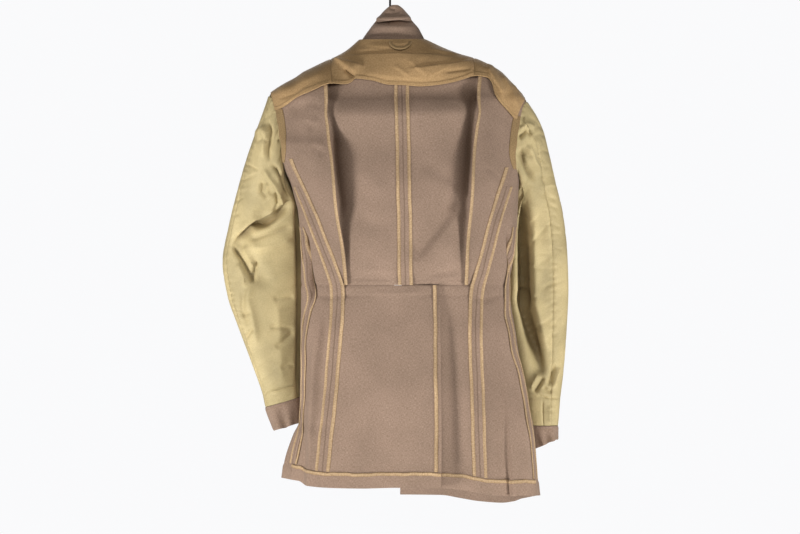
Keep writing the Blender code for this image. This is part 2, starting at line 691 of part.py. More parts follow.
def seams_and_tapes():
    tape_wide, allowance = 6.0, 9.5
    # Seam, its levels, where the allowance and the tapes on its left and right start, and the curl of its edges
    runs = (
        ("centre", CENTRE, UPPER_LEVELS, -152, -152, -152, 0.0),
        ("back_seam_left", BACK_SEAM_LEFT, ALL_LEVELS, -334, -334, -287, 0.0),
        ("back_seam_right", BACK_SEAM_RIGHT, ALL_LEVELS, -334, -302, -334, 0.0),
        ("side_seam_left", SIDE_LEFT, ALL_LEVELS, -402, -402, -402, 1.2),
        ("side_seam_right", SIDE_RIGHT, ALL_LEVELS, -402, -402, -402, 1.2),
    )
    for name, table, levels, top, top_a, top_b, curl in runs:
        reach = allowance if not name.startswith("side") else 6.0
        edge = tape_wide if not name.startswith("side") else 3.5
        near, far = reach - edge / 2, reach + edge / 2
        use = [level for level in levels if level >= -811]
        strip(name + "_allowance", below(use, top), table, -near, near, 2, 0.8, WOOL_COLOUR, curl)
        strip(name + "_tape_a", below(use, top_a), table, -far, -near - 0.3, 1, 1.2, TAPE_COLOUR, curl)
        strip(name + "_tape_b", below(use, top_b), table, near + 0.3, far, 1, 1.2, TAPE_COLOUR, curl)
    strip("pleat_tape_left", below(UPPER_LEVELS, -168), PLEAT_LEFT, -6.0, -0.1, 1, TAPE, TAPE_COLOUR)
    strip("pleat_tape_right", below(UPPER_LEVELS, -138), PLEAT_RIGHT, 0.1, 6.0, 1, TAPE, TAPE_COLOUR)
    vent_levels = [level for level in LOWER_LEVELS if level >= -811]
    strip("vent_tape", vent_levels, VENT, -11.5, -5.5, 1, TAPE, TAPE_COLOUR)


def hem_tapes():
    level = np.array((TAPE_TOP, TAPE_LOW))[:, None]
    spans = (
        ("hem_tape_left", theta_of(SIDE_LEFT("x", -815), -815), theta_of(VENT("x", -815) - 1.0, -815), 34),
        ("hem_tape_right", theta_of(VENT("x", -815) + 1.0, -815), theta_of(SIDE_RIGHT("x", -815), -815), 24),
    )
    for name, start, end, columns in spans:
        theta, place = np.broadcast_arrays(np.linspace(start, end, columns + 1)[None, :], level)
        base = cover(theta, np.minimum(place, TAPE_LOW)) + LIE + 0.3
        wall(name, on_body(theta, place, base + TAPE), on_body(theta, place, base), TAPE_COLOUR)


def hanger_loop():
    """A short strap in a U on the yoke below the neck seam."""
    turn = np.linspace(0, np.pi, 13)[:, None]
    reach = np.array((0.0, 1.0))[None, :]
    x = 17 + (18.5 - 5 * reach) * np.cos(turn)
    level = -95 - (14 - 5 * reach) * np.sin(turn)
    theta = theta_of(x, level)
    base = yoke_cover(theta, level) + YOKE_RISE + COTTON + 4.2
    wall("hanger_loop", on_body(theta, level, base + 1.6), on_body(theta, level, base), FACING_COLOUR)


def hanger():
    """A plain shoulder bar close under the ridge of the shoulders, and a wire hook."""
    tops = []
    arms = ((-1, (-170, -160, -150, -138, -126, -116)), (1, (-117, -122, -130, -140, -152, -164, -174)))
    for sign, levels in arms:
        level = np.array(levels, float)
        points = on_body(np.full(len(levels), sign * RIDGE), level, np.full(len(levels), -(WOOL + BAR_CLEAR)))
        tops.append(points)
    top = BAR_MIDDLE_TOP
    middle = np.array(((-40, 0, top - 8), (0, 0, top), (45, 0, top - 5)), float)
    line = np.concatenate([tops[0], middle, tops[1]])
    turn = np.linspace(0, 2 * np.pi, 10, endpoint=False)
    rings = []
    for x, _, z in line:
        ring = np.stack([np.full(10, x), BAR_THICK * np.sin(turn), z - BAR_TALL + BAR_TALL * np.cos(turn)], -1)
        rings.append(ring)
    rod("hanger_bar", rings, BAR_COLOUR, 0.5)

    radius = HOOK_INSIDE + WIRE
    arc = np.radians(np.linspace(185, -48, 22))
    path = [(radius * np.cos(a), -HOOK_INSIDE + radius * np.sin(a)) for a in arc]
    y_end, z_end = path[-1]
    for share in (0.35, 0.7, 1.0):
        path.append((y_end * (1 - fade(share)), z_end - 19 * share))
    path.append((0.0, BAR_MIDDLE_TOP + 0.5))
    path = np.array(path)
    heading = np.gradient(path, axis=0)
    heading = heading / np.linalg.norm(heading, axis=1, keepdims=True)
    heading[-1] = (0, -1)
    turn = np.linspace(0, 2 * np.pi, 8, endpoint=False)
    rings = []
    for (y, z), (hy, hz) in zip(path, heading):
        side = np.stack([WIRE * np.cos(turn), -WIRE * np.sin(turn) * hz + y, WIRE * np.sin(turn) * hy + z], -1)
        rings.append(side)
    rod("hanger_hook", rings, WIRE_COLOUR, 0.4)


for thing in list(bpy.data.objects):
    bpy.data.objects.remove(thing)
back_panels()
side_panels()
front_panels()
yoke()
facings()
sleeves()
collar_wall()
seams_and_tapes()
hem_tapes()
hanger_loop()
hanger()
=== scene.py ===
"""Dressed model of a military service jacket, inside out and hung by its back on a hanger.

Sizes are millimetres from the hook's bearing point: x to the right, y away from the viewer, z up.
"""

import bpy
import numpy as np
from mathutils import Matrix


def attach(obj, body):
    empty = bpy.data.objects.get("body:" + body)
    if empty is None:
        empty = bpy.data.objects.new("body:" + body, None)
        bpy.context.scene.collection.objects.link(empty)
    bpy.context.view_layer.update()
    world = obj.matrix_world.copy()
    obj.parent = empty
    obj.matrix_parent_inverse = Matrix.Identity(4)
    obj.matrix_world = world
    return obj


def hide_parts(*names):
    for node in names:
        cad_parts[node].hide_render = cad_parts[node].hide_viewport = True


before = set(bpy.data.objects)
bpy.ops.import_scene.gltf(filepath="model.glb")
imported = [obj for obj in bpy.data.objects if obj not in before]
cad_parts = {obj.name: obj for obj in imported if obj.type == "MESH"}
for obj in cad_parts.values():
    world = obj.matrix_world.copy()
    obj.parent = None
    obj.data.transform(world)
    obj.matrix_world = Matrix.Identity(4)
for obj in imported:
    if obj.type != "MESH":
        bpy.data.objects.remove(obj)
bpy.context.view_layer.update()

MM = 0.001
# Walls of the cloth, gaps at seams and armholes, and how far laps and doubled cloth stand off
WOOL = 2.0
COTTON = 1.2
LINING = 1.2
HALF_GAP = 0.05
ARM_GAP = 0.7
WAIST_BULK = 1.7
LAP = WOOL + 0.8
HEM_RISE = 1.2
# How full the sections are: a lower power gives a flatter back
BACK_POWER = 0.6
FRONT_POWER = 0.9
SLEEVE_POWER = 0.52
# Levels and angles that several pieces share
WAIST = -499.0
TAPE_TOP = -812.0
TAPE_LOW = -818.0
RIDGE = np.pi / 2
# How softly one form runs into the next, in millimetres or as a share of a turn's cosine or sine
NEAR_BLEND = 0.3
CREASE_BLEND = 0.25
FOLD_BLEND = 0.35
ROLL_BLEND = 30.0
HEM_BLEND_TOP = -640.0
HEM_BLEND = 198.0
STEEPEST = 0.35
VENT_REACH = 70.0
YOKE_EASE = 40.0


def smooth(xs, ys, at):
    """Curve through a table's points that never overshoots them."""
    step = np.diff(xs)
    slope = np.diff(ys) / step
    bend = np.zeros(len(xs))
    bend[0], bend[-1] = slope[0], slope[-1]
    product = slope[:-1] * slope[1:]
    total = np.where(product > 0, slope[:-1] + slope[1:], 1.0)
    bend[1:-1] = np.where(product > 0, 2.0 * product / total, 0.0)
    at = np.clip(at, xs[0], xs[-1])
    i = np.clip(np.searchsorted(xs, at) - 1, 0, len(step) - 1)
    t = (at - xs[i]) / step[i]
    value = ys[i] * (1 + 2 * t) * (1 - t) ** 2 + ys[i + 1] * t * t * (3 - 2 * t)
    return value + step[i] * (bend[i] * t * (1 - t) ** 2 - bend[i + 1] * t * t * (1 - t))


def fade(t):
    """Soft step from 0 to 1."""
    t = np.clip(t, 0.0, 1.0)
    return t * t * (3 - 2 * t)


class Table:
    """Rows of sizes with named columns; the first column is where each row stands."""

    def __init__(self, columns, rows):
        self.columns = columns.split()
        self.data = np.array(sorted(rows), float)

    def __call__(self, column, at):
        return smooth(self.data[:, 0], self.data[:, self.columns.index(column)], np.asarray(at, float))


# Torso rings: outline left and right, depth of the back and of the front
BODY = Table("level left right back front", (
    (-88, -49, 57, 44, 44),
    (-104, -67, 91, 54, 56),
    (-116, -84, 122, 61, 62),
    (-124, -97, 142, 66, 66),
    (-138, -126, 172, 73, 72),
    (-150, -151, 190, 78, 76),
    (-163, -176, 205, 83, 80),
    (-180, -203, 221, 88, 84),
    (-190, -204, 230, 90, 86),
    (-210, -203, 231, 89, 87),
    (-241, -200, 229, 91, 88),
    (-275, -190, 224, 95, 90),
    (-302, -180, 220, 98, 92),
    (-331, -167, 217, 100, 92),
    (-351, -161, 216, 100, 92),
    (-376, -155, 215, 99, 92),
    (-423, -151, 213, 95, 90),
    (-460, -150, 207, 89, 86),
    (-499, -150, 201, 84, 82),
    (-541, -150, 205, 87, 84),
    (-575, -151, 211, 92, 88),
    (-608, -151, 216, 96, 92),
    (-692, -152, 233, 104, 98),
    (-735, -153, 242, 107, 101),
    (-760, -163, 245, 108, 103),
    (-810, -178, 249, 110, 106),
    (-838, -182, 252, 111, 108)))

# Hem: how far the edge stands above its level, by degrees round from the centre back
HEM_LINE = Table("degrees shift", (
    (-200, 8), (-120, 10), (-90, 15), (-60, 11), (-53, 4), (-37, 1), (-23, 0.5), (-6, 2), (13, 1), (23, -2),
    (31, -7), (42, -12), (51, -12), (90, -15), (120, -24), (126, -29), (135, -32), (147, -30), (157, -25),
    (166, -20), (200, -19)))

# Seams: where each runs from side to side at a level
CENTRE = Table("level x", ((-88, 20), (-170, 20), (-323, 23), (-499, 26)))
PLEAT_LEFT = Table("level x", (
    (-120, -108), (-168, -104), (-205, -101), (-255, -96), (-314, -87), (-390, -79), (-449, -72),
    (-499, -69)))
PLEAT_RIGHT = Table("level x", (
    (-120, 149), (-161, 146), (-197, 143), (-239, 138), (-297, 133), (-373, 128), (-440, 124), (-499, 123)))
BACK_SEAM_LEFT = Table("level x", (
    (-262, -182), (-276, -176), (-299, -168), (-354, -144), (-415, -118), (-474, -95), (-507, -88),
    (-558, -90), (-611, -94), (-719, -104), (-808, -113), (-838, -116)))
BACK_SEAM_RIGHT = Table("level x", (
    (-262, 214), (-282, 210), (-316, 201), (-363, 185), (-385, 177), (-430, 165), (-470, 155), (-512, 145),
    (-568, 143), (-653, 145), (-741, 148), (-838, 151)))
SIDE_LEFT = Table("level x", (
    (-302, -177), (-348, -158), (-400, -148), (-450, -141), (-491, -135), (-516, -132), (-544, -137),
    (-575, -143), (-608, -145), (-692, -146), (-743, -149), (-810, -163), (-838, -166)))
SIDE_RIGHT = Table("level x", (
    (-319, 214), (-381, 210), (-440, 206), (-477, 199), (-507, 195), (-544, 197), (-575, 203), (-608, 208),
    (-642, 215), (-692, 225), (-751, 236), (-810, 242), (-838, 245)))
PLEATS = {"left": PLEAT_LEFT, "right": PLEAT_RIGHT}
BACK_SEAMS = {"left": BACK_SEAM_LEFT, "right": BACK_SEAM_RIGHT}
SIDE_SEAMS = {"left": SIDE_LEFT, "right": SIDE_RIGHT}
VENT = Table("level x", ((-499, 83), (-642, 84), (-759, 85), (-838, 84)))
FRONT_LEFT = Table("level x", ((-88, -46), (-140, -34), (-200, -18), (-330, 6), (-838, 8)))
FRONT_RIGHT = Table("level x", ((-88, 54), (-140, 60), (-200, 48), (-330, 22), (-838, 17)))
FRONTS = {"left": FRONT_LEFT, "right": FRONT_RIGHT}

# Free pleat edges of the outer backs: how far they stand off, and the cloth that runs on beneath them
PLEAT = Table("level left right under ramp reach", (
    (-120, 0.3, 0.3, 30, 22, 40),
    (-150, 1.2, 1.2, 31, 22, 50),
    (-178, 5, 5, 32, 22, 55),
    (-204, 4.5, 8, 32, 22, 60),
    (-228, 4.6, 9, 32, 22, 60),
    (-272, 13, 12, 32, 22, 60),
    (-314, 20, 16, 30, 20, 60),
    (-345, 20, 18, 28, 19, 58),
    (-375, 17, 14, 26, 18, 54),
    (-410, 9, 7, 22, 16, 44),
    (-449, 3, 3, 17, 14, 32),
    (-480, 1, 1, 6, 8, 20),
    (-499, 0.4, 0.4, 2, 5, 14)))
VENT_UNDER = 30.0
VENT_RAMP = 26.0
VENT_LIFT = Table("level lift", ((-499, 0), (-560, 4), (-700, 10), (-838, 14)))

# Large folds of the skirt: a line from its top to the hem, how soft it is, and how far one side steps
STEPS = (
    {"top": (-128, -570), "foot": (-141, -838), "soft": 8, "depth": 22, "side": -1},
    {"top": (189, -590), "foot": (203, -838), "soft": 8, "depth": -12, "side": 1},
)
# Shallow rolls across the back where the hanger's arms push the cloth out: level, height, reach
ROLLS = ((-165, 4.2, 18), (-208, -4.5, 18), (-240, -2.5, 26))
ROLL_MIDDLE = 21.0
ROLL_HALF = 118.0

# Armholes: top and bottom level, and how far the edge lies in from the outline
ARMHOLES = {"left": (-180.0, -296.5, 13.5), "right": (-190.0, -313.0, 14.0)}

# Sleeves: outer and inner outline points of each section, near and far depth, and the middle's depth
SLEEVE_COLUMNS = "row out_x out_z in_x in_z near far middle"
SLEEVES = {
    "left": Table(SLEEVE_COLUMNS, (
        (0, -203, -180, -180, -302, 50, 38, 0),
        (1, -222, -230, -173, -326, 56, 46, 0),
        (2, -243, -289, -163, -351, 58, 48, 10),
        (3, -258, -339, -153, -376, 54, 46, 27),
        (4, -273, -398, -147, -415, 50, 44, 40),
        (5, -284, -460, -146, -460, 46, 40, 47),
        (6, -276, -516, -146, -516, 44, 40, 49),
        (7, -259, -566, -147, -566, 44, 40, 49),
        (8, -238, -622, -148, -622, 44, 40, 47),
        (9, -216, -684, -148, -672, 44, 40, 44),
        (10, -211, -706, -149, -688, 44, 40, 41),
        (11, -193, -744, -152, -731, 44, 42, 34))),
    "right": Table(SLEEVE_COLUMNS, (
        (0, 230, -190, 217, -319, 50, 38, 0),
        (1, 254, -225, 219, -339, 56, 46, 9),
        (2, 268, -272, 213, -365, 56, 48, 38),
        (3, 281, -326, 208, -398, 52, 44, 54),
        (4, 294, -381, 204, -432, 48, 40, 62),
        (5, 301, -444, 200, -470, 44, 38, 66),
        (6, 303, -507, 198, -521, 42, 38, 68),
        (7, 300, -575, 203, -575, 40, 38, 68),
        (8, 295, -642, 215, -633, 40, 38, 66),
        (9, 289, -692, 224, -684, 42, 40, 64),
        (10, 285, -738, 232, -738, 42, 42, 62),
        (11, 281, -761, 247, -776, 40, 40, 60))),
}
CUFF_ROW = 10.0
LAST_ROW = 11.0
# The head of a sleeve: rows that blend into the armhole, its gap at the crown, its lean and its tuck
HEAD_ROWS = 1.5
CROWN_GAP = 1.4
ARMPIT_LEAN = 9.0
ARMPIT_ROW = 1.7
ARMPIT_ROWS = 1.1
HEAD_TUCK = 2.4
TUCK_ROWS = 0.2
# Seams of each sleeve, in degrees round from its outer edge: behind the arm and along the front
ARM_SEAMS = {"left": (26.0, 290.0), "right": (60.0, 290.0)}
# Large sleeve folds on the near side: ends in x and z, how wide, how deep
SLEEVE_FOLDS = {
    "left": (
        {"a": (-172, -362), "b": (-214, -388), "wide": 15, "deep": 9},
        {"a": (-214, -388), "b": (-252, -430), "wide": 14, "deep": 8},
        {"a": (-248, -440), "b": (-216, -488), "wide": 14, "deep": 6},
        {"a": (-196, -250), "b": (-204, -318), "wide": 14, "deep": 5},
    ),
    "right": (
        {"a": (226, -340), "b": (228, -524), "wide": 11, "deep": 9},
        {"a": (228, -524), "b": (249, -640), "wide": 11, "deep": 8},
        {"a": (262, -330), "b": (246, -420), "wide": 15, "deep": 4},
    ),
}

# Collar rings: outline left and right, depth of the back, where the middle lies, how far round it runs
COLLAR = Table("level left right back middle round", (
    (-88.7, -49, 60, 44, 0, 125),
    (-75, -40, 53, 38, -2, 122),
    (-66, -33, 48, 35, -3, 118),
    (-58, -27, 41, 30, -5, 114),
    (-52, -22, 36, 31, -6, 110),
    (-45, -17, 32, 27, -7, 104),
    (-39, -12, 27, 22, -8, 98),
    (-32, -4, 20, 13, -14, 90),
    (-27, 4, 12, 7, -18, 84)))
COLLAR_FOOT = -88.7
COLLAR_TOP = -28.0
COLLAR_BLEND = 25.0

# Yoke lining: its free lower edge, its top, how far it stands off, and the seams between its pieces
YOKE_EDGE = Table("x level", (
    (-204, -206), (-188, -205), (-151, -185), (-121, -175), (-96, -166), (-76, -165), (-64, -161),
    (-57, -155), (-30, -158), (-3, -165), (22, -166), (50, -168), (76, -166), (104, -161), (126, -155),
    (139, -152),
    (160, -155), (168, -164), (173, -182), (182, -194), (196, -208), (207, -220), (232, -226)))
YOKE_TOP = -89.0
YOKE_RISE = 2.8
YOKE_SEAMS = (-97.0, 139.0)
# Armhole facings: degrees round the armhole from its top, and their width
FACING_SPAN = {"left": (54.0, 158.0), "right": (55.0, 150.0)}
FACING_WIDE = Table("degrees wide", ((25, 10), (70, 13), (110, 12), (150, 6), (165, 5)))

# Hanger loop on the yoke: its middle in x and level, its sizes, and how it stands off
LOOP_MIDDLE = (17, -95)
LOOP_HALF = 18.5
LOOP_DROP = 14.0
LOOP_WIDE = 5.0
LOOP_THICK = 1.6
LOOP_CLEAR = 2.6
LOOP_LIFT = 1.6

# Hanger: its wire and hook, its wooden bar, and the levels where each arm of the bar begins and ends
WIRE = 1.75
HOOK_INSIDE = 17.0
BAR_THICK = 7.0
BAR_TALL = 13.0
BAR_MIDDLE_TOP = -101.0
BAR_CLEAR = 0.7
BAR_ARMS = ((-1, -170.0, -116.0), (1, -117.0, -174.0))
HOOK_ARC = (185.0, -48.0)
HOOK_NECK = 19.0


def middle_half(level):
    left = BODY("left", level)
    right = BODY("right", level)
    return (left + right) / 2, (right - left) / 2


def across(theta, level):
    """Place from side to side of an angle round the torso."""
    centre, half = middle_half(level)
    return centre + half * np.sin(theta)


def step_folds(x, level):
    """Depth of the large folds of the skirt and of the rolls under the yoke."""
    depth = np.zeros(np.broadcast(x, level).shape)
    for fold in STEPS:
        (x_top, z_top), (x_foot, z_foot) = fold["top"], fold["foot"]
        share = (level - z_top) / (z_foot - z_top)
        line = x_top + (x_foot - x_top) * np.clip(share, 0, 1)
        beyond = fade(fold["side"] * (x - line) / fold["soft"] + 0.5)
        depth = depth + fold["depth"] * fade(share) * beyond
    between = fade((ROLL_HALF - np.abs(x - ROLL_MIDDLE)) / ROLL_BLEND + 0.5)
    for place, height, reach in ROLLS:
        depth = depth + height * between * np.exp(-((level - place) / reach) ** 2)
    return depth


def body(theta, level):
    """Outside of the torso; theta is counted from the centre back, towards +x."""
    x = across(theta, level)
    cosine = np.cos(theta)
    back = -BODY("back", level) * np.abs(cosine) ** BACK_POWER
    back = back + step_folds(x, level) * fade(cosine / NEAR_BLEND)
    front = BODY("front", level) * np.abs(cosine) ** FRONT_POWER
    y = np.where(cosine >= 0, back, front)
    z = level + HEM_LINE("shift", np.degrees(theta)) * fade((HEM_BLEND_TOP - level) / HEM_BLEND)
    return np.stack(np.broadcast_arrays(x, y, z), -1)


def outward(surface, u, v, du, dv):
    """Unit normals of a surface by small steps."""
    along_u = surface(u + du, v) - surface(u - du, v)
    along_v = surface(u, v + dv) - surface(u, v - dv)
    normal = np.cross(along_u, along_v)
    return normal / np.linalg.norm(normal, axis=-1, keepdims=True)


def on_body(theta, level, offset):
    return body(theta, level) + outward(body, theta, level, 0.01, 0.5) * np.asarray(offset)[..., None]


def theta_of(x, level):
    centre, half = middle_half(level)
    return np.arcsin(np.clip((x - centre) / half, -1, 1))


def nudge(theta, level, size):
    """Moves a seam line sideways by a size along the cloth."""
    half = middle_half(level)[1]
    return theta + size / (half * np.maximum(np.abs(np.cos(theta)), STEEPEST))


def arm_x(side, level):
    """Edge of an armhole at a level."""
    top, bottom, inset = ARMHOLES[side]
    rise = np.clip((level - (top + bottom) / 2) / ((top - bottom) / 2), -1, 1)
    inward = inset * np.sqrt(1 - rise ** 2)
    return BODY(side, level) + (inward if side == "left" else -inward)


def armhole(side, phi):
    """Armhole edge, from its top (0) by the back to its bottom (180 degrees) and up the front."""
    top, bottom, _ = ARMHOLES[side]
    level = (top + bottom) / 2 + (top - bottom) / 2 * np.cos(phi)
    theta = theta_of(arm_x(side, level), level)
    mirrored = (np.pi if side == "right" else -np.pi) - theta
    return body(np.where(np.sin(phi) >= 0, theta, mirrored), level)


def pleat_cover(distance, level, column):
    """How far an outer back stands off the torso, by its distance from the free edge."""
    flat = PLEAT("under", level) + 3
    base = LAP * (1 - fade((distance - flat) / PLEAT("ramp", level)))
    near = np.clip(1 - distance / PLEAT("reach", level), 0, 1)
    return base + PLEAT(column, level) * near ** 2


def vent_cover(distance, level):
    base = LAP * (1 - fade((distance - VENT_UNDER - 4) / VENT_RAMP))
    near = np.clip(1 - distance / VENT_REACH, 0, 1)
    return base + VENT_LIFT("lift", level) * near ** 2


def cover(theta, level):
    """How far the uppermost wool stands off the torso's own surface on the back."""
    x = across(theta, level)
    left = PLEAT_LEFT("x", level) - x
    right = x - PLEAT_RIGHT("x", level)
    vent = VENT("x", level) - x
    above = np.where(left > 0, pleat_cover(left, level, "left"), 0.0)
    above = np.where(right > 0, pleat_cover(right, level, "right"), above)
    below = np.where(vent > 0, vent_cover(vent, level), 0.0)
    rise = np.where(level < TAPE_MIDDLE, HEM_RISE, 0.0)
    return np.where(level > WAIST, above, below) + rise


def yoke_cover(theta, level):
    """The same for the yoke, eased down from the pleat edges towards the middle."""
    x = across(theta, level)
    left = PLEAT_LEFT("x", level) - x
    right = x - PLEAT_RIGHT("x", level)
    cover_left = pleat_cover(np.maximum(left, 0), level, "left") * (1 - fade(-left / YOKE_EASE))
    cover_right = pleat_cover(np.maximum(right, 0), level, "right") * (1 - fade(-right / YOKE_EASE))
    return np.maximum(cover_left, cover_right)


def crease(folds, x, z):
    """Summed depth of soft folds, each along a line between two points."""
    depth = np.zeros(np.broadcast(x, z).shape)
    for fold in folds:
        ax, az = fold["a"]
        bx, bz = fold["b"]
        length = np.hypot(bx - ax, bz - az)
        along = ((x - ax) * (bx - ax) + (z - az) * (bz - az)) / length ** 2
        aside = ((x - ax) * (bz - az) - (z - az) * (bx - ax)) / length
        past = np.maximum(np.maximum(-along, along - 1), 0) * length
        depth = depth + fold["deep"] * np.exp(-(aside ** 2 + past ** 2) / fold["wide"] ** 2)
    return depth


def sleeve(side):
    """Surface of a sleeve by the angle round from its outer edge and the row down the arm."""
    table = SLEEVES[side]

    def surface(phi, row):
        out_x, out_z = table("out_x", row), table("out_z", row)
        in_x, in_z = table("in_x", row), table("in_z", row)
        cosine, sine = np.cos(phi), np.sin(phi)
        x = (out_x + in_x) / 2 + (out_x - in_x) / 2 * cosine
        z = (out_z + in_z) / 2 + (out_z - in_z) / 2 * cosine
        depth = np.where(sine >= 0, table("near", row), table("far", row))
        flat = np.where(sine >= 0, SLEEVE_POWER, 1.0)
        y = table("middle", row) - depth * np.sign(sine) * np.abs(sine) ** flat
        near = fade(sine / FOLD_BLEND)
        y = y + crease(SLEEVE_FOLDS[side], x, z) * near * fade(row / HEAD_ROWS)
        section = np.stack(np.broadcast_arrays(x, y, z), -1)
        edge = armhole(side, phi)
        crown = np.clip(cosine, 0, 1) ** 2
        aside = ARM_GAP + CROWN_GAP * crown
        edge[..., 0] += -aside if side == "left" else aside
        edge[..., 2] -= CROWN_GAP * crown
        blend = fade(row / HEAD_ROWS)[..., None]
        point = edge * (1 - blend) + section * blend
        inner = np.clip(-cosine, 0, 1) ** 2 * fade((0.3 - sine) / 0.6)
        inward = ARMPIT_LEAN * inner * np.exp(-((row - ARMPIT_ROW) / ARMPIT_ROWS) ** 2)
        inward = inward + HEAD_TUCK * np.exp(-(row / TUCK_ROWS) ** 2)
        point[..., 0] += inward if side == "left" else -inward
        return point

    return surface


def on_sleeve(side, phi, row, offset):
    surface = sleeve(side)
    point = surface(phi, row)
    normal = outward(surface, phi, row, 0.02, 0.03)
    if side == "left":
        normal = -normal
    return point + normal * offset


def collar(theta, level):
    left, right = COLLAR("left", level), COLLAR("right", level)
    x = (left + right) / 2 + (right - left) / 2 * np.sin(theta)
    cosine = np.cos(theta)
    power = BACK_POWER + (1 - BACK_POWER) * fade((level - COLLAR_FOOT) / COLLAR_BLEND)
    y = COLLAR("middle", level) - COLLAR("back", level) * np.sign(cosine) * np.abs(cosine) ** power
    return np.stack(np.broadcast_arrays(x, y, level), -1)


# Creases, listed in rows of: height (below zero a trough), reach before and after the path, path.
# On a path that runs to the right, before is above it; on one that runs down, before is to its right.
YOKE_CREASES = (
    (3.0, 1.8, 17, ((-78, -118), (-30, -115), (17, -113), (72, -117.5), (110, -122))),
    (-2.0, 3.0, 1.6, ((-72, -116), (-30, -113), (17, -111), (74, -115.5))),
    (2.6, 1.8, 13, ((-97, -127), (-70, -130), (-40, -136))),
    (2.6, 1.8, 15, ((26, -140), (60, -136), (104, -131), (139, -125))),
    (-1.8, 2.4, 1.6, ((32, -137.5), (60, -134), (104, -129), (139, -123))),
    (4.2, 13, 2.0, ((-95, -122), (-76, -135), (-55, -149))),
    (-4.0, 2.4, 2.8, ((-76, -139), (-66, -146), (-57, -153))),
    (1.8, 15, 6.0, ((-52, -144), (-5, -151), (50, -154), (100, -149))),
    (-1.8, 3.0, 2.2, ((88, -145), (112, -142), (136, -140))),
    (1.2, 5, 1.8, ((6, -134), (20, -143), (34, -152))),
    (1.0, 4, 1.8, ((64, -151), (84, -143), (100, -135))),
    (1.2, 6, 1.8, ((30, -124), (48, -141), (64, -151))),
    (1.8, 8, 4.0, ((-44, -100), (0, -103), (44, -100))),
    (-4.0, 3.2, 3.2, ((-2, -97), (10, -102), (24, -102), (36, -97))),
    (1.4, 4, 2.4, ((-60, -108), (-34, -107), (-10, -110))),
    (1.6, 5, 2.4, ((62, -106), (90, -112), (118, -114))),
    (4.4, 14, 2.0, ((150, -136), (162, -147), (176, -167), (188, -190))),
    (3.0, 9, 4.0, ((180, -150), (198, -174), (216, -206))),
    (2.0, 7, 4.0, ((200, -164), (222, -196))),
    (2.6, 12, 6.0, ((-192, -184), (-142, -164), (-100, -147))),
    (1.8, 8, 6.0, ((-186, -198), (-132, -178), (-99, -167))),
    (-1.4, 4, 3.0, ((-186, -189), (-160, -180), (-128, -166))),
)
BACK_CREASES = (
    (-2.4, 8, 8, ((-172, -209), (-134, -196), (-108, -201))),
    (1.8, 7, 7, ((-166, -226), (-140, -222), (-110, -230))),
    (6.5, 13, 42, ((-188, -262), (-144, -266), (-98, -270))),
    (-2.0, 6, 7, ((-130, -266), (-116, -274), (-104, -284))),
    (1.6, 8, 8, ((-150, -275), (-122, -300))),
    (-1.8, 7, 7, ((-120, -206), (-132, -228), (-128, -244))),
    (-4.0, 16, 14, ((-158, -183), (0, -183), (60, -181), (200, -178))),
    (4.5, 14, 30, ((-158, -216), (0, -218), (60, -216), (200, -210))),
    (6.0, 110, 36, ((-170, -452), (20, -456), (210, -452))),
    (-7.5, 9, 26, ((124, -350), (96, -384), (64, -424), (36, -462))),
    (1.8, 14, 14, ((110, -420), (84, -448), (60, -470))),
    (-2.2, 14, 16, ((-66, -380), (-28, -396), (12, -399))),
    (1.4, 12, 12, ((-50, -300), (-30, -330), (0, -345))),
    (-1.6, 12, 12, ((50, -290), (80, -310), (110, -330))),
    (-1.6, 5, 5, ((70, -480), (98, -475), (122, -471))),
    (1.4, 4, 5, ((56, -490), (90, -487), (120, -484))),
    (-1.4, 6, 6, ((-62, -484), (-28, -487), (4, -486))),
    (1.2, 5, 5, ((-46, -474), (-16, -472), (14, -477))),
    (-1.4, 5, 5, ((150, -300), (170, -310), (190, -330))),
    (1.6, 9, 9, ((160, -240), (168, -290), (172, -340))),
    (-9.0, 3.5, 3.5, ((-145, -398), (-138, -428), (-133, -477), (-128, -507), (-131, -540))),
    (-8.0, 3.5, 3.5, ((197, -396), (200, -436), (204, -490), (206, -548))),
    (-1.8, 5, 5, ((-120, -516), (-100, -520), (-60, -514))),
    (-1.6, 5, 5, ((134, -520), (160, -524), (188, -516))),
    (1.5, 5, 6, ((-40, -512), (10, -514), (60, -510))),
    (-1.8, 12, 20, ((-46, -536), (-38, -640), (-42, -790))),
    (2.0, 20, 18, ((8, -545), (14, -690), (6, -820))),
    (-1.6, 14, 14, ((46, -530), (56, -650), (50, -820))),
    (-3.0, 9, 12, ((96, -520), (101, -640), (106, -836))),
    (2.6, 9, 12, ((118, -520), (124, -650), (130, -836))),
    (-2.6, 7, 16, ((172, -530), (182, -640), (192, -836))),
    (3.6, 10, 10, ((212, -610), (226, -720), (232, -836))),
    (-4.2, 7, 8, ((-106, -530), (-118, -640), (-126, -760))),
    (3.4, 7, 6, ((-118, -550), (-130, -640), (-138, -790))),
)
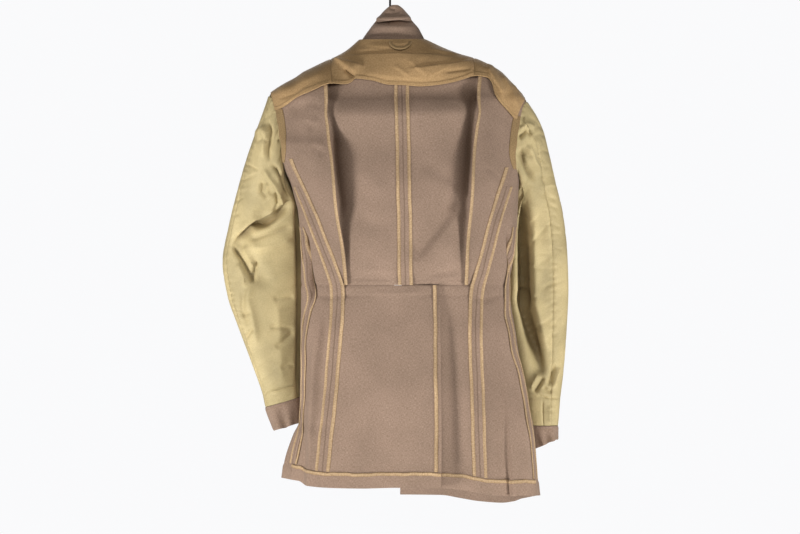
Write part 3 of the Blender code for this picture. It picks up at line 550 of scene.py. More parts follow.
# Pockets in the upper back beneath the free pleat edges
POCKETS = (
    (-6, 12, 6, ((-105, -130), (-103, -165), (-101, -196))),
    (-5, 9, 6, ((-101, -170), (-98, -240), (-93, -300), (-86, -360), (-78, -430), (-73, -494))),
    (-4, 18, 6, ((-100, -205), (-94, -262), (-88, -318), (-80, -376), (-76, -424))),
    (-5, 32, 6, ((-97, -226), (-92, -278), (-87, -330), (-80, -374), (-77, -398))),
    (-5, 6, 9, ((147, -136), (141, -210), (136, -265), (131, -325), (125, -404), (120, -494))),
    (-4, 6, 20, ((146, -130), (141, -200), (136, -262), (131, -330), (127, -386), (125, -420))),
    (-4, 6, 30, ((144, -142), (139, -224), (135, -280), (130, -330), (128, -372))),
)
FRONT_CREASES = (
    (-3.4, 16, 16, ((-110, -250), (-84, -330), (-92, -440))),
    (3.0, 14, 16, ((-60, -280), (-50, -380), (-66, -490))),
    (-2.6, 10, 10, ((-130, -360), (-90, -380), (-40, -372))),
    (-3.0, 15, 15, ((110, -260), (96, -350), (110, -470))),
    (2.6, 13, 15, ((150, -300), (140, -400), (150, -480))),
    (-2.4, 9, 9, ((70, -400), (110, -410), (160, -396))),
    (-1.8, 6, 6, ((-120, -492), (-70, -497), (-10, -492))),
    (-1.8, 6, 6, ((50, -494), (110, -499), (180, -492))),
    (-3.6, 13, 15, ((-96, -540), (-104, -660), (-112, -800))),
    (3.0, 14, 14, ((-44, -560), (-50, -680), (-54, -810))),
    (-3.2, 12, 14, ((76, -550), (84, -680), (90, -820))),
    (3.2, 14, 13, ((136, -560), (150, -680), (160, -820))),
    (-2.8, 9, 11, ((190, -600), (200, -700), (206, -820))),
)
SLEEVE_NEAR = {
    "left": (
        (-4.2, 2.8, 6, ((-205, -220), (-198, -242), (-203, -272), (-202, -294))),
        (4.0, 6, 6, ((-214, -226), (-210, -250), (-214, -286))),
        (1.8, 9, 3, ((-234, -246), (-216, -240), (-203, -247))),
        (-2.0, 2.5, 6, ((-228, -258), (-212, -252), (-204, -262))),
        (-6.5, 6, 5, ((-201, -294), (-181, -319), (-168, -356))),
        (4.4, 5, 5, ((-212, -303), (-194, -329), (-180, -356))),
        (-4.0, 4, 4, ((-214, -324), (-217, -344), (-205, -357))),
        (3.4, 4, 4, ((-206, -326), (-207, -342), (-198, -350))),
        (-4.4, 4, 4, ((-193, -340), (-188, -361), (-198, -377))),
        (3.2, 4, 4, ((-184, -345), (-180, -362))),
        (-9.0, 4.5, 9, ((-265, -432), (-234, -400), (-200, -386), (-166, -359))),
        (5.0, 8, 5, ((-259, -417), (-229, -387), (-198, -374), (-172, -350))),
        (-4.0, 9, 8, ((-246, -425), (-210, -415), (-158, -399))),
        (3.0, 7, 9, ((-236, -438), (-200, -432), (-160, -420))),
        (-5.5, 5, 4, ((-267, -429), (-250, -455), (-235, -482), (-232, -498))),
        (4.2, 6, 5, ((-247, -430), (-237, -455), (-229, -474))),
        (-4.4, 4, 4, ((-225, -455), (-228, -474), (-232, -497))),
        (3.0, 5, 5, ((-258, -460), (-248, -484), (-243, -506))),
        (-1.8, 2.2, 5, ((-247, -295), (-234, -299), (-220, -307))),
        (1.4, 5, 2.4, ((-250, -308), (-226, -318))),
        (-1.6, 2.2, 5, ((-256, -323), (-240, -319), (-222, -311))),
        (1.2, 6, 3, ((-258, -340), (-232, -335))),
        (-1.5, 2.2, 5, ((-266, -359), (-246, -350))),
        (-1.2, 2.2, 4, ((-268, -382), (-252, -378))),
        (3.4, 9, 10, ((-232, -491), (-241, -521), (-229, -568), (-225, -604))),
        (-2.6, 5, 6, ((-246, -506), (-250, -540), (-240, -570))),
        (-3.0, 4, 4, ((-246, -592), (-238, -580), (-229, -570))),
        (-2.2, 4, 4, ((-252, -554), (-244, -548), (-234, -545))),
        (-2.0, 6, 6, ((-198, -524), (-180, -520), (-160, -518))),
        (-2.0, 6, 6, ((-205, -571), (-184, -570), (-160, -574))),
        (-2.8, 6, 6, ((-194, -607), (-178, -592), (-160, -577))),
        (2.0, 12, 12, ((-190, -520), (-185, -600), (-180, -684))),
        (-1.8, 5, 5, ((-186, -640), (-172, -634), (-158, -636))),
        (-14.0, 5, 5, ((-157, -350), (-152, -430), (-150, -520), (-151, -600), (-154, -706))),
        (-2.6, 3, 3, ((-188, -212), (-178, -217))),
        (-2.6, 3, 3, ((-190, -226), (-179, -231))),
        (-2.6, 3, 3, ((-189, -240), (-178, -246))),
        (-2.6, 3, 3, ((-188, -256), (-177, -260))),
        (-2.4, 3, 3, ((-184, -272), (-174, -275))),
        (2.4, 2.5, 2.5, ((-203, -681), (-180, -674), (-156, -667))),
    ),
    "right": (
        (-4.4, 5, 5, ((214, -253), (228, -240), (243, -247))),
        (3.4, 5, 5, ((216, -238), (230, -229), (246, -236))),
        (-7.0, 6, 7, ((218, -266), (225, -294), (235, -308), (247, -327))),
        (4.0, 6, 5, ((231, -262), (240, -288), (254, -308))),
        (-3.4, 4, 4, ((222, -278), (232, -284), (240, -281))),
        (-15.0, 8, 8, ((219, -318), (224, -430), (227, -541), (240, -590), (252, -630), (260, -657))),
        (4.6, 9, 8, ((243, -360), (246, -450), (248, -530), (262, -590), (270, -630))),
        (-5.0, 5, 5, ((260, -653), (252, -668), (242, -682))),
        (3.0, 4, 4, ((252, -650), (243, -664), (238, -676))),
        (-1.5, 2.5, 5, ((238, -236), (250, -231), (262, -234))),
        (-1.9, 2.2, 6, ((241, -249), (252, -245), (264, -247))),
        (-1.6, 2.2, 4, ((247, -277), (258, -272), (270, -275))),
        (-1.2, 2, 4, ((250, -296), (262, -300), (272, -299))),
        (-2.0, 2.2, 7, ((253, -323), (266, -317), (280, -313))),
        (1.6, 4, 2.2, ((256, -334), (272, -330), (282, -332))),
        (-1.8, 2.2, 6, ((255, -341), (268, -348), (284, -356))),
        (-1.3, 2, 4, ((259, -362), (272, -364), (286, -371))),
        (-1.0, 2, 3, ((263, -382), (274, -380), (284, -383))),
        (-1.5, 2, 5, ((266, -395), (278, -396), (290, -402))),
        (-1.1, 2, 4, ((269, -415), (280, -412), (292, -414))),
        (-1.0, 2, 3, ((272, -440), (283, -437), (295, -440))),
        (-0.8, 2, 3, ((274, -462), (285, -461), (296, -466))),
        (-1.2, 3, 7, ((236, -396), (244, -390), (254, -380))),
        (-1.6, 3, 9, ((236, -436), (250, -414), (266, -398))),
        (-1.2, 4, 8, ((240, -478), (254, -460), (272, -452))),
        (-1.7, 3, 10, ((238, -530), (256, -508), (280, -490))),
        (-1.8, 3, 8, ((240, -580), (254, -566), (276, -556))),
        (-1.2, 4, 7, ((262, -598), (272, -586), (288, -580))),
        (-4.4, 5, 5, ((280, -632), (274, -652), (268, -672))),
        (3.4, 5, 5, ((287, -636), (282, -656), (276, -674))),
        (-3.2, 4, 4, ((258, -670), (266, -678), (276, -681))),
        (-1.6, 1.4, 1.4, ((247, -684), (270, -691), (294, -691))),
        (-1.6, 1.4, 1.4, ((258, -692), (258, -716), (259, -742))),
        (2.0, 6, 6, ((268, -700), (272, -720), (270, -738))),
        (-2.4, 3, 3, ((216, -214), (226, -220))),
        (-2.4, 3, 3, ((217, -228), (226, -234))),
        (-2.2, 3, 3, ((214, -246), (222, -252))),
    ),
}
SLEEVE_FAR = {
    "left": (
        (-4.0, 8, 8, ((-244, -300), (-214, -316), (-184, -330))),
        (-6.0, 7, 9, ((-262, -440), (-225, -430), (-190, -410), (-164, -396))),
        (3.6, 9, 8, ((-258, -420), (-222, -408), (-186, -392))),
        (-3.6, 7, 7, ((-256, -500), (-220, -486), (-176, -478))),
        (-2.6, 7, 7, ((-240, -560), (-210, -552), (-172, -556))),
        (-2.4, 6, 6, ((-222, -620), (-196, -612), (-166, -618))),
        (2.4, 12, 12, ((-214, -470), (-200, -560), (-190, -660))),
    ),
    "right": (
        (-4.0, 8, 8, ((226, -300), (250, -310), (270, -300))),
        (-5.5, 7, 9, ((222, -420), (250, -430), (282, -446))),
        (3.4, 9, 8, ((224, -400), (252, -410), (284, -424))),
        (-3.2, 7, 7, ((220, -500), (250, -496), (286, -506))),
        (-2.8, 7, 7, ((222, -570), (250, -566), (284, -574))),
        (-2.4, 6, 6, ((234, -650), (256, -644), (280, -652))),
        (2.4, 12, 12, ((252, -460), (256, -560), (258, -660))),
    ),
}
COLLAR_CREASES = (
    (-8.0, 1.6, 2.4, ((-34, -55), (-6, -57.5), (12, -56.5), (46, -53.5))),
    (4.0, 5, 1.6, ((-30, -51.5), (-4, -53.5), (14, -52.5), (40, -50))),
    (-2.8, 4, 5, ((-50, -78), (-18, -75), (20, -78.5), (54, -79))),
    (1.8, 5, 5, ((-40, -67), (5, -66), (46, -67))),
    (1.4, 3, 3, ((-46, -84), (-10, -82.5), (30, -84.5))),
    (-1.6, 2.4, 2.4, ((-12, -41), (4, -43), (18, -39))),
    (-1.4, 2, 2, ((-2, -33), (10, -36))),
    (-2.4, 1.4, 1.4, ((-5, -58.4), (-3.4, -58.8), (-1.8, -58.8))),
)


# Levels where the panels begin and end
NECK = -89.4
OUTER_TOP = -138.0
UPPER_FOOT = -498.8
SKIRT_TOP = -499.2
TAPE_END = -811.0
HEM = -838.0

# Cloth looks: two tones, flecks for each metre and how far they are drawn out, roughness, sheen, weave for
# each metre, depth of crumples and of the weave in metres, and how cloudy the dye is
LOOK = "dark light speckle stretch rough sheen weave crumple depth cloud".split()
CLOTHS = {
    "wool": ((0.220, 0.147, 0.105), (0.360, 0.259, 0.200),
        1150, 0.22, 0.94, 0.06, 370, 1.2e-4, 9e-5, 0.10),
    "yoke_cotton": ((0.385, 0.240, 0.110), (0.530, 0.350, 0.174),
        520, 0.6, 0.80, 0.10, 520, 6e-4, 1e-4, 0.16),
    "facing_cotton": ((0.255, 0.168, 0.078), (0.368, 0.248, 0.122),
        520, 0.6, 0.82, 0.10, 520, 6e-4, 1e-4, 0.14),
    "sleeve_sateen": ((0.570, 0.462, 0.236), (0.665, 0.546, 0.298),
        420, 0.9, 0.58, 0.05, 700, 7e-4, 6e-5, 0.20),
    "binding_tape": ((0.430, 0.285, 0.155), (0.660, 0.472, 0.290),
        460, 0.5, 0.84, 0.10, 450, 3e-4, 1.2e-4, 0.22),
}
WHITE = (1.0, 1.0, 1.0)
# Painted shade: where creases, grooves and strip edges lie, the colour is multiplied down towards this tone
PAINTED_SHADE_TONE = (0.48, 0.44, 0.40)
CLOUDS = 11.0
CRUMPLES = 52.0
GRAIN = 60.0


def link(tree, a, a_socket, b, b_socket):
    tree.links.new(a.outputs[a_socket], b.inputs[b_socket])


def noise(tree, place, scale, detail=2.0):
    node = tree.nodes.new("ShaderNodeTexNoise")
    node.inputs["Scale"].default_value = scale
    node.inputs["Detail"].default_value = detail
    link(tree, place, "Vector" if "Vector" in place.outputs else "UV", node, "Vector")
    return node


def ramp(tree, source, stops, socket="Fac"):
    node = tree.nodes.new("ShaderNodeValToRGB")
    link(tree, source, socket, node, "Fac")
    while len(node.color_ramp.elements) < len(stops):
        node.color_ramp.elements.new(0.5)
    for element, (place, colour) in zip(node.color_ramp.elements, stops):
        element.position = place
        element.color = (*colour, 1.0)
    return node


def stretched(tree, coords, socket, scale):
    node = tree.nodes.new("ShaderNodeMapping")
    node.inputs["Scale"].default_value = scale
    link(tree, coords, socket, node, "Vector")
    return node


def thread(tree, coords, scale, stretch):
    """Flecks drawn out along the yarns of one direction."""
    return noise(tree, stretched(tree, coords, "UV", stretch), scale, 2.0)


def multiply(tree, base, by, share):
    node = tree.nodes.new("ShaderNodeMix")
    node.data_type = "RGBA"
    node.blend_type = "MULTIPLY"
    node.inputs["Factor"].default_value = share
    tree.links.new(base, node.inputs["A"])
    tree.links.new(by, node.inputs["B"])
    return node.outputs["Result"]


def new_material(name):
    material = bpy.data.materials.new(name)
    material.use_nodes = True
    return material, material.node_tree, material.node_tree.nodes["Principled BSDF"]


def spread_rough(tree, source, shader, least, most):
    """Lets a pattern vary the roughness between two values."""
    node = tree.nodes.new("ShaderNodeMapRange")
    link(tree, source, "Fac", node, "Value")
    node.inputs["To Min"].default_value = least
    node.inputs["To Max"].default_value = most
    link(tree, node, "Result", shader, "Roughness")


def average(tree, first, second):
    """Mean of two patterns."""
    total = tree.nodes.new("ShaderNodeMath")
    total.operation = "MULTIPLY_ADD"
    halved = tree.nodes.new("ShaderNodeMath")
    halved.operation = "MULTIPLY"
    for node in (total, halved):
        node.inputs[1].default_value = 0.5
    link(tree, second, "Fac", halved, 0)
    link(tree, first, "Fac", total, 0)
    link(tree, halved, "Value", total, 2)
    return total


def cloth_material(name, look):
    """Two-tone yarn with soft clouds, painted shade in creases, grooves and along strip edges, and a twill
    weave in the surface.
    """
    material, tree, shader = new_material("dressed_" + name)
    coords = tree.nodes.new("ShaderNodeTexCoord")
    warp = thread(tree, coords, look["speckle"], (1.0, look["stretch"], 1.0))
    weft = thread(tree, coords, look["speckle"], (look["stretch"], 1.0, 1.0))
    speckle = average(tree, warp, weft)
    yarn = ramp(tree, speckle, ((0.36, look["dark"]), (0.50, mean(look)), (0.64, look["light"])), "Value")
    cloud = noise(tree, coords, CLOUDS, 4.0)
    low = 1.0 - 2.2 * look["cloud"]
    tone = ramp(tree, cloud, ((0.28, (low, low, low * 0.98)), (0.72, WHITE)))
    colour = multiply(tree, yarn.outputs["Color"], tone.outputs["Color"], 1.0)
    # Painted shade: the fold attribute, from crease and groove depth and strip edges, darkens the colour
    # where shade would fall
    fold = tree.nodes.new("ShaderNodeAttribute")
    fold.attribute_name = "fold"
    painted_shade = ramp(tree, fold, ((0.20, WHITE), (1.0, PAINTED_SHADE_TONE)))
    colour = multiply(tree, colour, painted_shade.outputs["Color"], 1.0)
    tree.links.new(colour, shader.inputs["Base Color"])
    spread_rough(tree, cloud, shader, look["rough"] - 0.05, min(look["rough"] + 0.05, 1.0))
    shader.inputs["Sheen Weight"].default_value = look["sheen"]
    shader.inputs["Sheen Roughness"].default_value = 0.45
    shader.inputs["Specular IOR Level"].default_value = 0.25
    link(tree, surface_bump(tree, coords, warp, look), "Normal", shader, "Normal")
    return material


def surface_bump(tree, coords, warp, look):
    """Twill, fuzz and fine crumples, one on the other."""
    twill = tree.nodes.new("ShaderNodeTexWave")
    twill.bands_direction = "DIAGONAL"
    twill.inputs["Scale"].default_value = look["weave"]
    twill.inputs["Distortion"].default_value = 0.6
    link(tree, coords, "UV", twill, "Vector")
    weave = bump(tree, twill, look["depth"], None)
    fuzz = bump(tree, warp, look["depth"] * 1.6, weave)
    return bump(tree, noise(tree, coords, CRUMPLES, 2.0), look["crumple"], fuzz)


def mean(look):
    return tuple((a + b) / 2 for a, b in zip(look["dark"], look["light"]))


def bump(tree, source, depth, under):
    node = tree.nodes.new("ShaderNodeBump")
    node.inputs["Strength"].default_value = 1.0
    node.inputs["Distance"].default_value = depth
    link(tree, source, "Fac", node, "Height")
    if under is not None:
        link(tree, under, "Normal", node, "Normal")
    return node


def hard_material(name, dark, light, rough, metallic, grain):
    """Varnished wood or painted wire, with grain or wear along its length."""
    material, tree, shader = new_material("dressed_" + name)
    coords = tree.nodes.new("ShaderNodeTexCoord")
    streak = noise(tree, stretched(tree, coords, "Object", grain), GRAIN, 5.0)
    tone = ramp(tree, streak, ((0.32, dark), (0.70, light)))
    link(tree, tone, "Color", shader, "Base Color")
    spread_rough(tree, streak, shader, rough - 0.08, rough + 0.12)
    shader.inputs["Metallic"].default_value = metallic
    link(tree, bump(tree, streak, 0.00008, None), "Normal", shader, "Normal")
    return material


MATERIALS = {name: cloth_material(name, dict(zip(LOOK, row))) for name, row in CLOTHS.items()}
MATERIALS["hanger_wood"] = hard_material(
    "hanger_wood", (0.20, 0.10, 0.045), (0.42, 0.25, 0.13), 0.42, 0.0, (0.12, 1.0, 1.0))
MATERIALS["hook_wire"] = hard_material(
    "hook_wire", (0.008, 0.008, 0.008), (0.035, 0.034, 0.032), 0.38, 0.3, (1.0, 1.0, 0.4))


# Mesh steps on what shows and on the hidden fronts, and the angle where shading breaks
FINE = 3.0
COARSE = 5.0
SHARP_EDGE = 48.0
# Tapes and seam allowances: how they bed on the cloth, their sizes, and how far the side ones wander
BED = 0.15
TAPE_WIDE = 6.0
TAPE_THICK = 1.3
EDGE_TAPE_THICK = 1.1
ALLOWANCE = 9.5
ALLOWANCE_THICK = 0.7
SIDE_TAPE_WIDE = 3.5
SIDE_ALLOWANCE = 6.0
SIDE_SWAY = 3.0
LEAST_CUT = 10.0
TAPE_MIDDLE = (TAPE_TOP + TAPE_LOW) / 2
# Rows of stitches at the waist, and the grooves there as level, depth and reach
BELT_ROWS = (-491.4, -517.4)
GROOVES = ((WAIST, 1.3, 2.6), (BELT_ROWS[1], 0.8, 2.2))
# Creases: how sharp, how soft at the ends, the sleeves' own depth and width, the trough depth whose painted
# shade is full, and the painted shade on strip edges
SHARP = 1.55
SOFT = 2.0
END_SHARE = 0.22
SLEEVE_DEPTH = 1.4
SLEEVE_NARROW = 0.8
FULL_SHADE_DEPTH = 12.0
EDGE_SHADE = 0.8
# Edges that meet: at the shoulder ridge, armholes and sides, and the ends of the yoke
RIDGE_GAP = 0.001
ARM_ASIDE = 0.012
EASE = 0.05
FRONT_RISE = 3.8
YOKE_ENDS = (-200.0, 226.0)
# Stitches: spacing, length, thickness, and each one's shape as place along it and share of its thickness
STITCH_PITCH = 3.2
STITCH_LONG = 2.3
STITCH_THICK = 0.32
STITCH_SIDES = 5
STITCH_SHAPE = ((-0.5, 0.25), (-0.28, 0.9), (0.28, 0.9), (0.5, 0.25))
# Rounded ends of a rod: share of its thickness and of the ends' bulge
ROD_ENDS = ((0.02, 1.0), (0.6, 0.8), (0.9, 0.4))
ROD_BULGE = 0.25
# Which way the middle of the back lies from each side
INWARD = {"left": 1, "right": -1}


def relief(creases, x, z, gain=1.0, narrow=1.0, power=SOFT):
    """Height that the creases add at each point, with soft ends."""
    total = np.zeros(np.broadcast(x, z).shape)
    for height, before, after, path in creases:
        nearest = np.full(total.shape, np.inf)
        aside = np.zeros(total.shape)
        along = np.zeros(total.shape)
        start = 0.0
        for (ax, az), (bx, bz) in zip(path, path[1:]):
            length = np.hypot(bx - ax, bz - az)
            dx, dz = (bx - ax) / length, (bz - az) / length
            run = np.clip((x - ax) * dx + (z - az) * dz, 0, length)
            px, pz = x - ax - dx * run, z - az - dz * run
            distance = np.hypot(px, pz)
            closer = distance < nearest
            nearest = np.where(closer, distance, nearest)
            aside = np.where(closer, px * dz - pz * dx, aside)
            along = np.where(closer, start + run, along)
            start += length
        reach = np.where(aside > 0, after, before) * narrow
        ends = fade(along / (END_SHARE * start)) * fade((start - along) / (END_SHARE * start))
        total = total + gain * height * ends * np.exp(-(nearest / reach) ** power)
    return total


def body_relief(theta, level):
    """Creases of the torso: the back's on the near side, the fronts' on the far side."""
    point = body(theta, level)
    x, z = point[..., 0], point[..., 2]
    cosine = np.cos(theta)
    near = relief(BACK_CREASES, x, z) * fade(cosine / CREASE_BLEND)
    return near + relief(FRONT_CREASES, x, z) * fade(-cosine / CREASE_BLEND)


def steps(first, last, size):
    """Evenly spaced values no further apart than a size."""
    return np.linspace(first, last, int(np.ceil(abs(last - first) / size)) + 1)


def travel(points, axis):
    """Length along a grid's rows or columns, from its middle."""
    step = np.linalg.norm(np.diff(points, axis=axis), axis=-1)
    start = np.zeros_like(np.take(step, [0], axis=axis))
    total = np.concatenate([start, np.cumsum(step, axis=axis)], axis=axis)
    return total - np.take(total, [total.shape[axis] // 2], axis=axis)


def mesh_piece(name, points, faces, uv=None, fold=None):
    """One object from points in millimetres; uv is in metres along the cloth."""
    points = np.asarray(points) * MM
    faces = np.asarray(faces)
    a, b, c = points[faces[:, 0]], points[faces[:, 1]], points[faces[:, 2]]
    d = points[faces[:, -1]]
    inside_out = ((a * np.cross(b, c)).sum() + (a * np.cross(c, d)).sum()) < 0
    if inside_out:
        faces = faces[:, ::-1]
    mesh = bpy.data.meshes.new(name)
    mesh.from_pydata(points.tolist(), [], faces.tolist())
    if uv is not None:
        layer = mesh.uv_layers.new(name="cloth")
        layer.data.foreach_set("uv", np.asarray(uv)[faces.ravel()].ravel().astype(np.float32))
    # The fold attribute carries the painted shade of troughs and strip edges to the material
    if fold is not None:
        depth = mesh.attributes.new("fold", "FLOAT", "POINT")
        depth.data.foreach_set("value", np.asarray(fold).ravel().astype(np.float32))
    mesh.polygons.foreach_set("use_smooth", np.ones(len(mesh.polygons), bool))
    mesh.set_sharp_from_angle(angle=np.radians(SHARP_EDGE))
    thing = bpy.data.objects.new(name, mesh)
    bpy.context.scene.collection.objects.link(thing)
    return thing


def shell(name, outer, inner, crease_height=None, ring=False):
    """A thin closed wall between two grids of points."""
    rows, columns = outer.shape[:2]
    count = rows * columns
    index = np.arange(count).reshape(rows, columns)
    if ring:
        index = np.concatenate([index, index[:, :1]], axis=1)
    a, b, c, d = index[:-1, :-1], index[:-1, 1:], index[1:, 1:], index[1:, :-1]
    top, foot = index[0], index[-1]
    faces = [np.stack([a, b, c, d], -1).reshape(-1, 4), np.stack([a, d, c, b], -1).reshape(-1, 4) + count]
    faces.append(np.stack([top[1:], top[:-1], top[:-1] + count, top[1:] + count], -1))
    faces.append(np.stack([foot[:-1], foot[1:], foot[1:] + count, foot[:-1] + count], -1))
    if not ring:
        left, right = index[:, 0], index[:, -1]
        faces.append(np.stack([left[:-1], left[1:], left[1:] + count, left[:-1] + count], -1))
        faces.append(np.stack([right[1:], right[:-1], right[:-1] + count, right[1:] + count], -1))
    uv = np.stack([travel(outer, 1), -travel(outer, 0)], -1).reshape(-1, 2) * MM
    height = np.zeros((rows, columns)) if crease_height is None else crease_height
    # Painted shade: troughs darken the colour, fully at the full shade depth
    fold = np.clip(-height / FULL_SHADE_DEPTH, 0, 1)
    points = np.concatenate([outer.reshape(-1, 3), inner.reshape(-1, 3)])
    fold = np.concatenate([fold.ravel(), fold.ravel()])
    return mesh_piece(name, points, np.concatenate(faces), np.concatenate([uv, uv]), fold)


def tube(name, path, sides, radius, squash=None):
    """A capped rod along a path; squash gives other half sizes as (side, up)."""
    path = np.asarray(path, float)
    heading = np.gradient(path, axis=0)
    heading = heading / np.linalg.norm(heading, axis=1, keepdims=True)
    turn = np.linspace(0, 2 * np.pi, sides, endpoint=False)
    side = np.cross(heading, (1.0, 0.0, 0.0) if squash is None else (0.0, 0.0, 1.0))
    side = side / np.linalg.norm(side, axis=1, keepdims=True)
    lift = np.cross(side, heading)
    wide, tall = (radius, radius) if squash is None else squash
    rings = path[:, None] + side[:, None] * (wide * np.cos(turn))[None, :, None]
    rings = rings + lift[:, None] * (tall * np.sin(turn))[None, :, None]
    middle = rings.mean(axis=1, keepdims=True)
    closed, ended = [], []
    for size, push in ROD_ENDS:
        bulge = ROD_BULGE * wide * push
        closed.append(middle[:1] + (rings[:1] - middle[:1]) * size - heading[0] * bulge)
        ended.insert(0, middle[-1:] + (rings[-1:] - middle[-1:]) * size + heading[-1] * bulge)
    rings = np.concatenate(closed + [rings] + ended)
    rows = len(rings)
    index = np.arange(rows * sides).reshape(rows, sides)
    index = np.concatenate([index, index[:, :1]], axis=1)
    quads = np.stack([index[:-1, :-1], index[:-1, 1:], index[1:, 1:], index[1:, :-1]], -1).reshape(-1, 4)
    around = np.broadcast_to(turn[None, :] * wide, (rows, sides))
    along = np.broadcast_to(np.arange(rows)[:, None] * 2.0, (rows, sides))
    uv = np.stack([around, along], -1).reshape(-1, 2) * MM
    thing = mesh_piece(name, rings.reshape(-1, 3), quads, uv)
    fill_ends(thing, rows, sides)
    return thing


def fill_ends(thing, rows, sides):
    """Closes the small end holes of a tube."""
    mesh = thing.data
    points = [tuple(v.co) for v in mesh.vertices]
    faces = [tuple(p.vertices) for p in mesh.polygons]
    flipped = faces[0][0] != 0
    first = tuple(range(sides))
    last = tuple((rows - 1) * sides + c for c in range(sides))
    faces.append(first if flipped else first[::-1])
    faces.append(last[::-1] if flipped else last)
    old_uv = np.zeros(len(mesh.loops) * 2, np.float32)
    mesh.uv_layers["cloth"].data.foreach_get("uv", old_uv)
    mesh.clear_geometry()
    mesh.from_pydata(points, [], faces)
    layer = mesh.uv_layers.get("cloth") or mesh.uv_layers.new(name="cloth")
    extra = np.zeros((len(mesh.loops) * 2 - len(old_uv),), np.float32)
    layer.data.foreach_set("uv", np.concatenate([old_uv, extra]))
    mesh.polygons.foreach_set("use_smooth", np.ones(len(mesh.polygons), bool))


def sewing(name, lines):
    """Rows of short thread stitches along lines of points."""
    points, faces = [], []
    sides = STITCH_SIDES
    turn = np.linspace(0, 2 * np.pi, sides, endpoint=False)
    for line in lines:
        line = np.asarray(line, float)
        run = np.concatenate([[0], np.cumsum(np.linalg.norm(np.diff(line, axis=0), axis=1))])
        for place in np.arange(STITCH_PITCH / 2, run[-1], STITCH_PITCH):
            behind, here, ahead = (np.array([np.interp(place + s, run, line[:, k]) for k in range(3)])
                                   for s in (-1, 0, 1))
            heading = (ahead - behind) / max(np.linalg.norm(ahead - behind), 1e-6)
            side = np.cross(heading, (0.0, 1.0, 0.0))
            side = side / max(np.linalg.norm(side), 1e-6)
            lift = np.cross(side, heading)
            base = len(points)
            for along, fat in STITCH_SHAPE:
                middle = here + heading * along * STITCH_LONG
                for t in turn:
                    points.append(middle + (side * np.cos(t) + lift * np.sin(t)) * STITCH_THICK * fat)
            for r in range(len(STITCH_SHAPE) - 1):
                for c in range(sides):
                    e = (c + 1) % sides
                    k = base + r * sides
                    faces.append((k + c, k + e, k + sides + e, k + sides + c))
    return mesh_piece(name, points, np.array(faces))


def cut_of(smooth):
    """Width, length and area in metres of the flat cut, from the piece's form before it creased."""
    a, b, c, d = smooth[:-1, :-1], smooth[:-1, 1:], smooth[1:, 1:], smooth[1:, :-1]
    area = np.linalg.norm(np.cross(c - a, d - b), axis=-1).sum() / 2
    width = np.linalg.norm(np.diff(smooth, axis=1), axis=-1).sum(axis=1).max()
    length = np.linalg.norm(np.diff(smooth, axis=0), axis=-1).sum(axis=0).max()
    return width * MM, length * MM, area * MM * MM


def column_length(grid):
    middle = grid[:, grid.shape[1] // 2]
    return np.linalg.norm(np.diff(middle, axis=0), axis=-1).sum()


def strip_cut(grid, wide, thick, folded=True):
    """Cut of a strip: a binding is folded in two, and shows its face and its edges."""
    length = column_length(grid)
    shown = wide + thick
    width = max(2 * wide, LEAST_CUT) if folded else shown
    return width * MM, length * MM, shown * length * MM * MM


def dress(thing, slot, node=None, cut=None):
    """Puts a piece on the body, hides the solid it stands for, and gives its finish; its cut is not used."""
    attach(thing, "root")
    if node:
        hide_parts(node)
    thing.data.materials.append(MATERIALS[slot])
    return thing


def seam(table, size=0.0):
    """A seam's angle at a level, set aside by part of the seam gap."""
    return lambda level: nudge(theta_of(table("x", level), level), level, size)


def stand_off_of(table, kind):
    """How far a lapping panel stands off, from its distance to its free edge."""
    def value(theta, level):
        x = across(theta, level)
        edge = table("x", level)
        if kind == "vent":
            return vent_cover(np.maximum(edge - x, 0), level)
        distance = edge - x if kind == "left" else x - edge
        return pleat_cover(np.maximum(distance, 0), level, kind)
    return value


def hem_rise(level):
    return HEM_RISE * fade((TAPE_TOP - 1 - level) / 4)


def waist_groove(level):
    return -sum(deep * np.exp(-((level - place) / reach) ** 2) for place, deep, reach in GROOVES)


def panel(name, top, foot, left, right, stand_off=None, size=FINE, pockets=()):
    """A wool panel between two edges of the torso."""
    level = steps(top, foot, size)[:, None]
    reach = np.max(np.abs(right(level) - left(level)) * middle_half(level)[1])
    share = np.linspace(0, 1, int(np.ceil(reach / size)) + 1)[None, :]
    theta = left(level) * (1 - share) + right(level) * share
    level = np.broadcast_to(level, theta.shape)
    height = body_relief(theta, level)
    if pockets:
        place = body(theta, level)
        height = height + relief(pockets, place[..., 0], place[..., 2])
    lift = height + hem_rise(level) + waist_groove(level)
    if stand_off is not None:
        lift = lift + stand_off(theta, level)
    thick = WOOL + hem_rise(level)
    thing = shell(name + "_cloth", on_body(theta, level, lift), on_body(theta, level, lift - thick), height)
    return dress(thing, "wool", name, cut_of(on_body(theta, level, lift - height)))


def cloth_speed(theta, level):
    """Size along the cloth for each radian round the back."""
    cosine = np.maximum(np.cos(theta), 0.05)
    aside = middle_half(level)[1] * cosine
    into = BODY("back", level) * BACK_POWER * cosine ** (BACK_POWER - 1) * np.abs(np.sin(theta))
    return np.maximum(aside, 0.8 * np.hypot(aside, into))


def on_seam(table, level, aside, height, curl=0.0):
    """Points that lie on the back's wool at a distance from a seam and a height above the cloth."""
    theta = theta_of(table("x", level), level)
    theta = theta + aside / cloth_speed(theta, level)
    level = np.broadcast_to(level, theta.shape)
    crossing = WAIST_BULK * np.exp(-((level - WAIST) / 28) ** 2)
    base = crossing + curl * (aside / 10) ** 2 + cover(theta, level) + body_relief(theta, level)
    return on_body(theta, level, base + height)


def rounded(share, edge, power=4):
    """Thickness across a strip, from its edges (-1 and 1) to its full middle."""
    return edge + (1 - edge) * np.sqrt(np.clip(1 - share ** power, 0, 1))


# Painted shade along both edges of a strip, given as a trough depth for the fold attribute
def shaded_edges(share):
    return -EDGE_SHADE * FULL_SHADE_DEPTH * np.abs(share) ** 6


